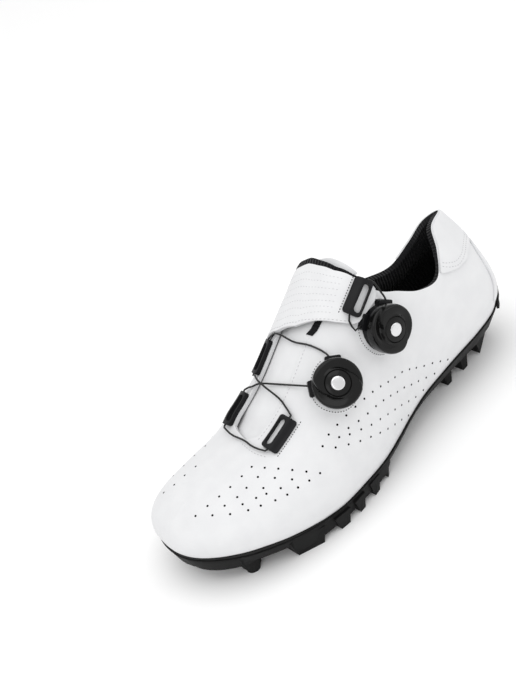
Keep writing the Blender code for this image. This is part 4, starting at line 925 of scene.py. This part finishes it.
for name, (surface, station, share, turn, slide) in GUIDES.items():
    guide = bpy.data.objects.new(f"{name}_loop", loop.data.copy())
    bpy.context.scene.collection.objects.link(guide)
    for vert in guide.data.vertices:
        place = beside(surface, station, share, turn, vert.co.x, vert.co.y + slide)
        origin, _, _, outward = spot_axes(surface, *place)
        high = (vert.co.z + GUIDE_HEIGHT / 2) * between(GUIDE_HEIGHTS, vert.co.y / GUIDE_WIDTH)
        vert.co = Vector(origin + outward * (CLEARANCE + high))
    take_up(guide)
    bpy.ops.object.mode_set(mode="EDIT")
    bpy.ops.mesh.select_all(action="SELECT")
    bpy.ops.mesh.normals_make_consistent(inside=False)
    bpy.ops.object.mode_set(mode="OBJECT")
    bpy.ops.object.shade_smooth_by_angle(angle=math.radians(42))
    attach(guide, "root")
    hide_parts(name)
bpy.data.objects.remove(loop, do_unlink=True)

# Cables: steel strands in a black coat. The dials' bases are nylon too, each on a round patch of
# microfibre that is stitched to the quarter.
coated, shader = finish("cable_coating", (0.012, 0.012, 0.012), 0.34, 0.3)
grain(coated, shader, 2400, 0.00005, 0.5, (0.26, 0.42))
for name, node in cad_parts.items():
    if name.startswith("cable"):
        node.data.materials[0] = coated
    elif name.startswith("dial_base"):
        node.data.materials[0] = nylon

# Lace dials: a glossy black knob, turned round with two scooped grips that swirl into one another,
# and a plain turned metal cap let into its middle.
DIAL_DIAMETER = 0.0295
DIAL_HEIGHT = 0.0095
DIAL_BASE_HEIGHT = 0.0045
DIAL_CAP_DIAMETER = 0.0080
CAP_DEPTH = 0.0012
CAP_RISE = 0.0006
DIALS = {"lower": (6.70, 0.64), "upper": (9.00, 0.48)}
# share of the knob's radius, share of its height
KNOB_PROFILE = (
    (0.93, 0.0), (0.965, 0.015), (0.99, 0.08), (1.0, 0.20), (1.0, 0.60), (0.996, 0.70), (0.984, 0.79),
    (0.96, 0.865), (0.925, 0.91), (0.88, 0.93), (0.80, 0.94), (0.70, 0.95), (0.60, 0.955), (0.54, 0.957),
    (0.53, 0.93), (0.515, 0.915), (0.50, 0.93), (0.49, 0.962), (0.44, 0.975), (0.38, 0.99), (0.315, 1.0),
    (0.30, 0.985), (0.295, 0.88), (0.0, 0.88),
)
# depth of a grip, degrees of its steep and of its long side, and its turn from rim to middle
GRIP_DEPTH = 0.0030
GRIP_EDGE = 6.0
GRIP_SPAN = 125.0
GRIP_SWIRL = 150.0
GRIP_INNER = 0.55
GRIP_FOOT = 0.25
CAP_FACE = 0.92
CAP_RINGS = 9
RING_DIP = 0.00006

gloss, shader = finish("knob_gloss", (0.004, 0.004, 0.004), 0.16, 0.24)
grain(gloss, shader, 500, 0.00001, 0.15, (0.10, 0.22))
silver, shader = finish("cap_silver", (0.72, 0.72, 0.73), 0.22, metallic=1.0)
grain(silver, shader, 1800, 0.00002, 0.3, (0.16, 0.3))


def lathe(name, profile, skin, steps):
    """A solid turned about z from (radius, height) points."""
    mesh = bpy.data.meshes.new(name)
    mesh.from_pydata([(r, 0, h) for r, h in profile], [(i, i + 1) for i in range(len(profile) - 1)], [])
    piece = bpy.data.objects.new(name, mesh)
    bpy.context.scene.collection.objects.link(piece)
    mesh.materials.append(skin)
    take_up(piece)
    turn = piece.modifiers.new("turn", "SCREW")
    turn.steps = steps
    turn.render_steps = steps
    turn.use_merge_vertices = True
    turn.merge_threshold = 1e-5
    bpy.ops.object.modifier_apply(modifier="turn")
    bpy.ops.object.mode_set(mode="EDIT")
    bpy.ops.mesh.select_all(action="SELECT")
    bpy.ops.mesh.remove_doubles(threshold=1e-6)
    bpy.ops.mesh.normals_make_consistent(inside=False)
    bpy.ops.object.mode_set(mode="OBJECT")
    return piece


def settle(piece, station, share, angle):
    """Puts a turned piece in its place on the quarter, x heelward and z outward."""
    piece.data.transform(seat(*spot_axes(quarter, station, share)))
    take_up(piece)
    bpy.ops.object.shade_smooth_by_angle(angle=math.radians(angle))
    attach(piece, "root")


PATCH_RADIUS = 0.0172
PATCH_BORE = 0.0115
PATCH_WALL = 0.0004
PATCH_GAP = 0.00005
for dial, (station, share) in DIALS.items():
    rows = []
    for reach in np.linspace(PATCH_BORE, PATCH_RADIUS, 4):
        row = []
        for bearing in np.linspace(0, math.tau, 49):
            place = beside(quarter, station, share, 0, reach * math.cos(bearing), reach * math.sin(bearing))
            origin, _, _, outward = spot_axes(quarter, *place)
            row.append(origin + outward * (PATCH_WALL + PATCH_GAP))
        rows.append(row)
    patch = sheet_piece(f"dial_patch_{dial}", [(rows, True)], PATCH_WALL, (white,), 0.00015)

for dial, (station, share) in DIALS.items():
    radius, bottom = DIAL_DIAMETER / 2, DIAL_BASE_HEIGHT + CLEARANCE
    top, grip_foot = bottom + DIAL_HEIGHT, bottom + GRIP_FOOT * DIAL_HEIGHT
    outline = [(radius * r, bottom + DIAL_HEIGHT * h) for r, h in KNOB_PROFILE]
    profile = []
    for (r, h), (next_r, next_h) in zip(outline, outline[1:]):
        profile += [(r + (next_r - r) * i / 3, h + (next_h - h) * i / 3) for i in range(3)]
    knob = lathe(f"knob_{dial}", profile + [outline[-1]], gloss, 180)
    for vertex in knob.data.vertices:
        reach = math.hypot(vertex.co.x, vertex.co.y) / radius
        if reach < GRIP_INNER or vertex.co.z < grip_foot:
            continue
        bearing = math.degrees(math.atan2(vertex.co.y, vertex.co.x))
        past = (bearing + GRIP_SWIRL * (reach - 0.45)) % 180.0
        drop = share_of(past, 0.0, GRIP_EDGE) * (1 - share_of(past, 0.0, GRIP_SPAN))
        low = share_of(vertex.co.z, grip_foot, bottom + 0.9 * DIAL_HEIGHT)
        vertex.co.z -= GRIP_DEPTH * drop * low * share_of(reach, GRIP_INNER, 0.66)
    settle(knob, station, share, 35)
    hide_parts(f"dial_knob_{dial}")
    radius, foot = DIAL_CAP_DIAMETER / 2, top - CAP_DEPTH + CLEARANCE
    profile = [(0, foot), (radius, foot), (radius, top), (CAP_FACE * radius, top + 0.5 * CAP_RISE)]
    for ring in range(CAP_RINGS, 0, -1):
        reach = CAP_FACE * ring / (CAP_RINGS + 0.5)
        dip = RING_DIP if ring % 2 else 0.0
        profile.append((reach * radius, top + CAP_RISE * (1 - 0.4 * reach ** 2) - dip))
    profile.append((0, top + CAP_RISE))
    cap = lathe(f"cap_{dial}", profile, silver, 64)
    settle(cap, station, share, 40)
    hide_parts(f"dial_cap_{dial}")

# Stitches: white thread along the seams, and dark thread beside the guides and round the dials. Each
# stitch is a short capsule, sunk into the face by half. The white thread is painted mid grey as painted shade
# where it dips into its holes.


def panel_face(station, share):
    """Outer face of the collar panel on the lateral side."""
    return overlay_point(-1, station, share)


def medial_panel(station, share):
    """Outer face of the collar panel on the medial side."""
    return overlay_point(1, station, share)


# rib station, and share or place across the arch, of the places that each seam passes
PANEL_SEAMS = (
    ((13.62, 0.935), (13.85, 0.83), (14.12, 0.745), (14.6, 0.675), (15.2, 0.635), (15.95, 0.61)),
    ((13.74, 0.935), (13.95, 0.85), (14.22, 0.77), (14.66, 0.70), (15.2, 0.665), (15.95, 0.64)),
)
SEAMS = (
    (quarter, ((7.10, 0.925), (6.20, 0.925), (5.25, 0.925), (4.30, 0.925))),
    (quarter, ((3.98, 0.80), (3.86, 0.86), (3.80, 0.92), (3.80, 0.995))),
    *((face, spots) for face in (panel_face, medial_panel) for spots in PANEL_SEAMS),
    (strap_face, ((7.38, 0.075), (7.60, -0.02), (7.72, -0.105), (7.94, -0.225), (8.05, -0.27))),
    (strap_face, ((7.38, 0.075), (7.24, 0.13), (7.06, 0.30), (6.82, 0.45))),
    (flap, ((6.90, 0.80), (6.2, 0.80), (5.25, 0.80), (4.40, 0.81))),
)
# Dark thread: beside the guides' flanges, and in arcs round the dials (degrees from heelward)
GUIDE_SEAM = 0.0067
DIAL_SEAM = 0.0163
DIAL_ARCS = {"lower": ((60, 104), (140, 262)), "upper": ((168, 262),)}


def stitch_run(name, seams, skin, pitch, width):
    """One piece of all stitches along the seams."""
    model = capsule((0.6 * pitch, width, 0.7 * width))
    places = []
    for surface, spots in seams:
        places += run_on(surface, spots, pitch=pitch)
    copies(name, model, places, skin)


def patch_face(station, share):
    """Outer face of the quarter where a dial's patch lies on it."""
    return quarter(station, share) + form_normal(-1, station, share) * PATCH_WALL


# White thread coloured mid grey, darker than the microfibre: painted shade of the thread's dips.
thread, shader = finish("white_thread_painted_shade", (0.46, 0.46, 0.47), 0.8)
grain(thread, shader, 4000, 0.00008, 0.6)
stitch_run("white_stitches", SEAMS, thread, 0.0024, 0.00042)
dark_seams = []
for name in ("guide_lateral", "strap_guide"):
    surface, station, share, turn, slide = GUIDES[name]
    runs = np.linspace(-0.0112, 0.0122, 5)
    spots = [beside(surface, station, share, turn, run, slide - GUIDE_SEAM) for run in runs]
    dark_seams.append((surface, spots))
for dial, arcs in DIAL_ARCS.items():
    station, share = DIALS[dial]
    for first, last in arcs:
        bearings = [math.radians(degrees) for degrees in np.linspace(first, last, 8)]
        spots = [beside(quarter, station, share, 0, DIAL_SEAM * math.cos(turn), DIAL_SEAM * math.sin(turn))
                 for turn in bearings]
        dark_seams.append((patch_face, spots))
dark_thread, shader = finish("dark_thread", (0.008, 0.008, 0.008), 0.8)
grain(dark_thread, shader, 4000, 0.00008, 0.6)
stitch_run("dark_stitches", dark_seams, dark_thread, 0.0017, 0.00062)
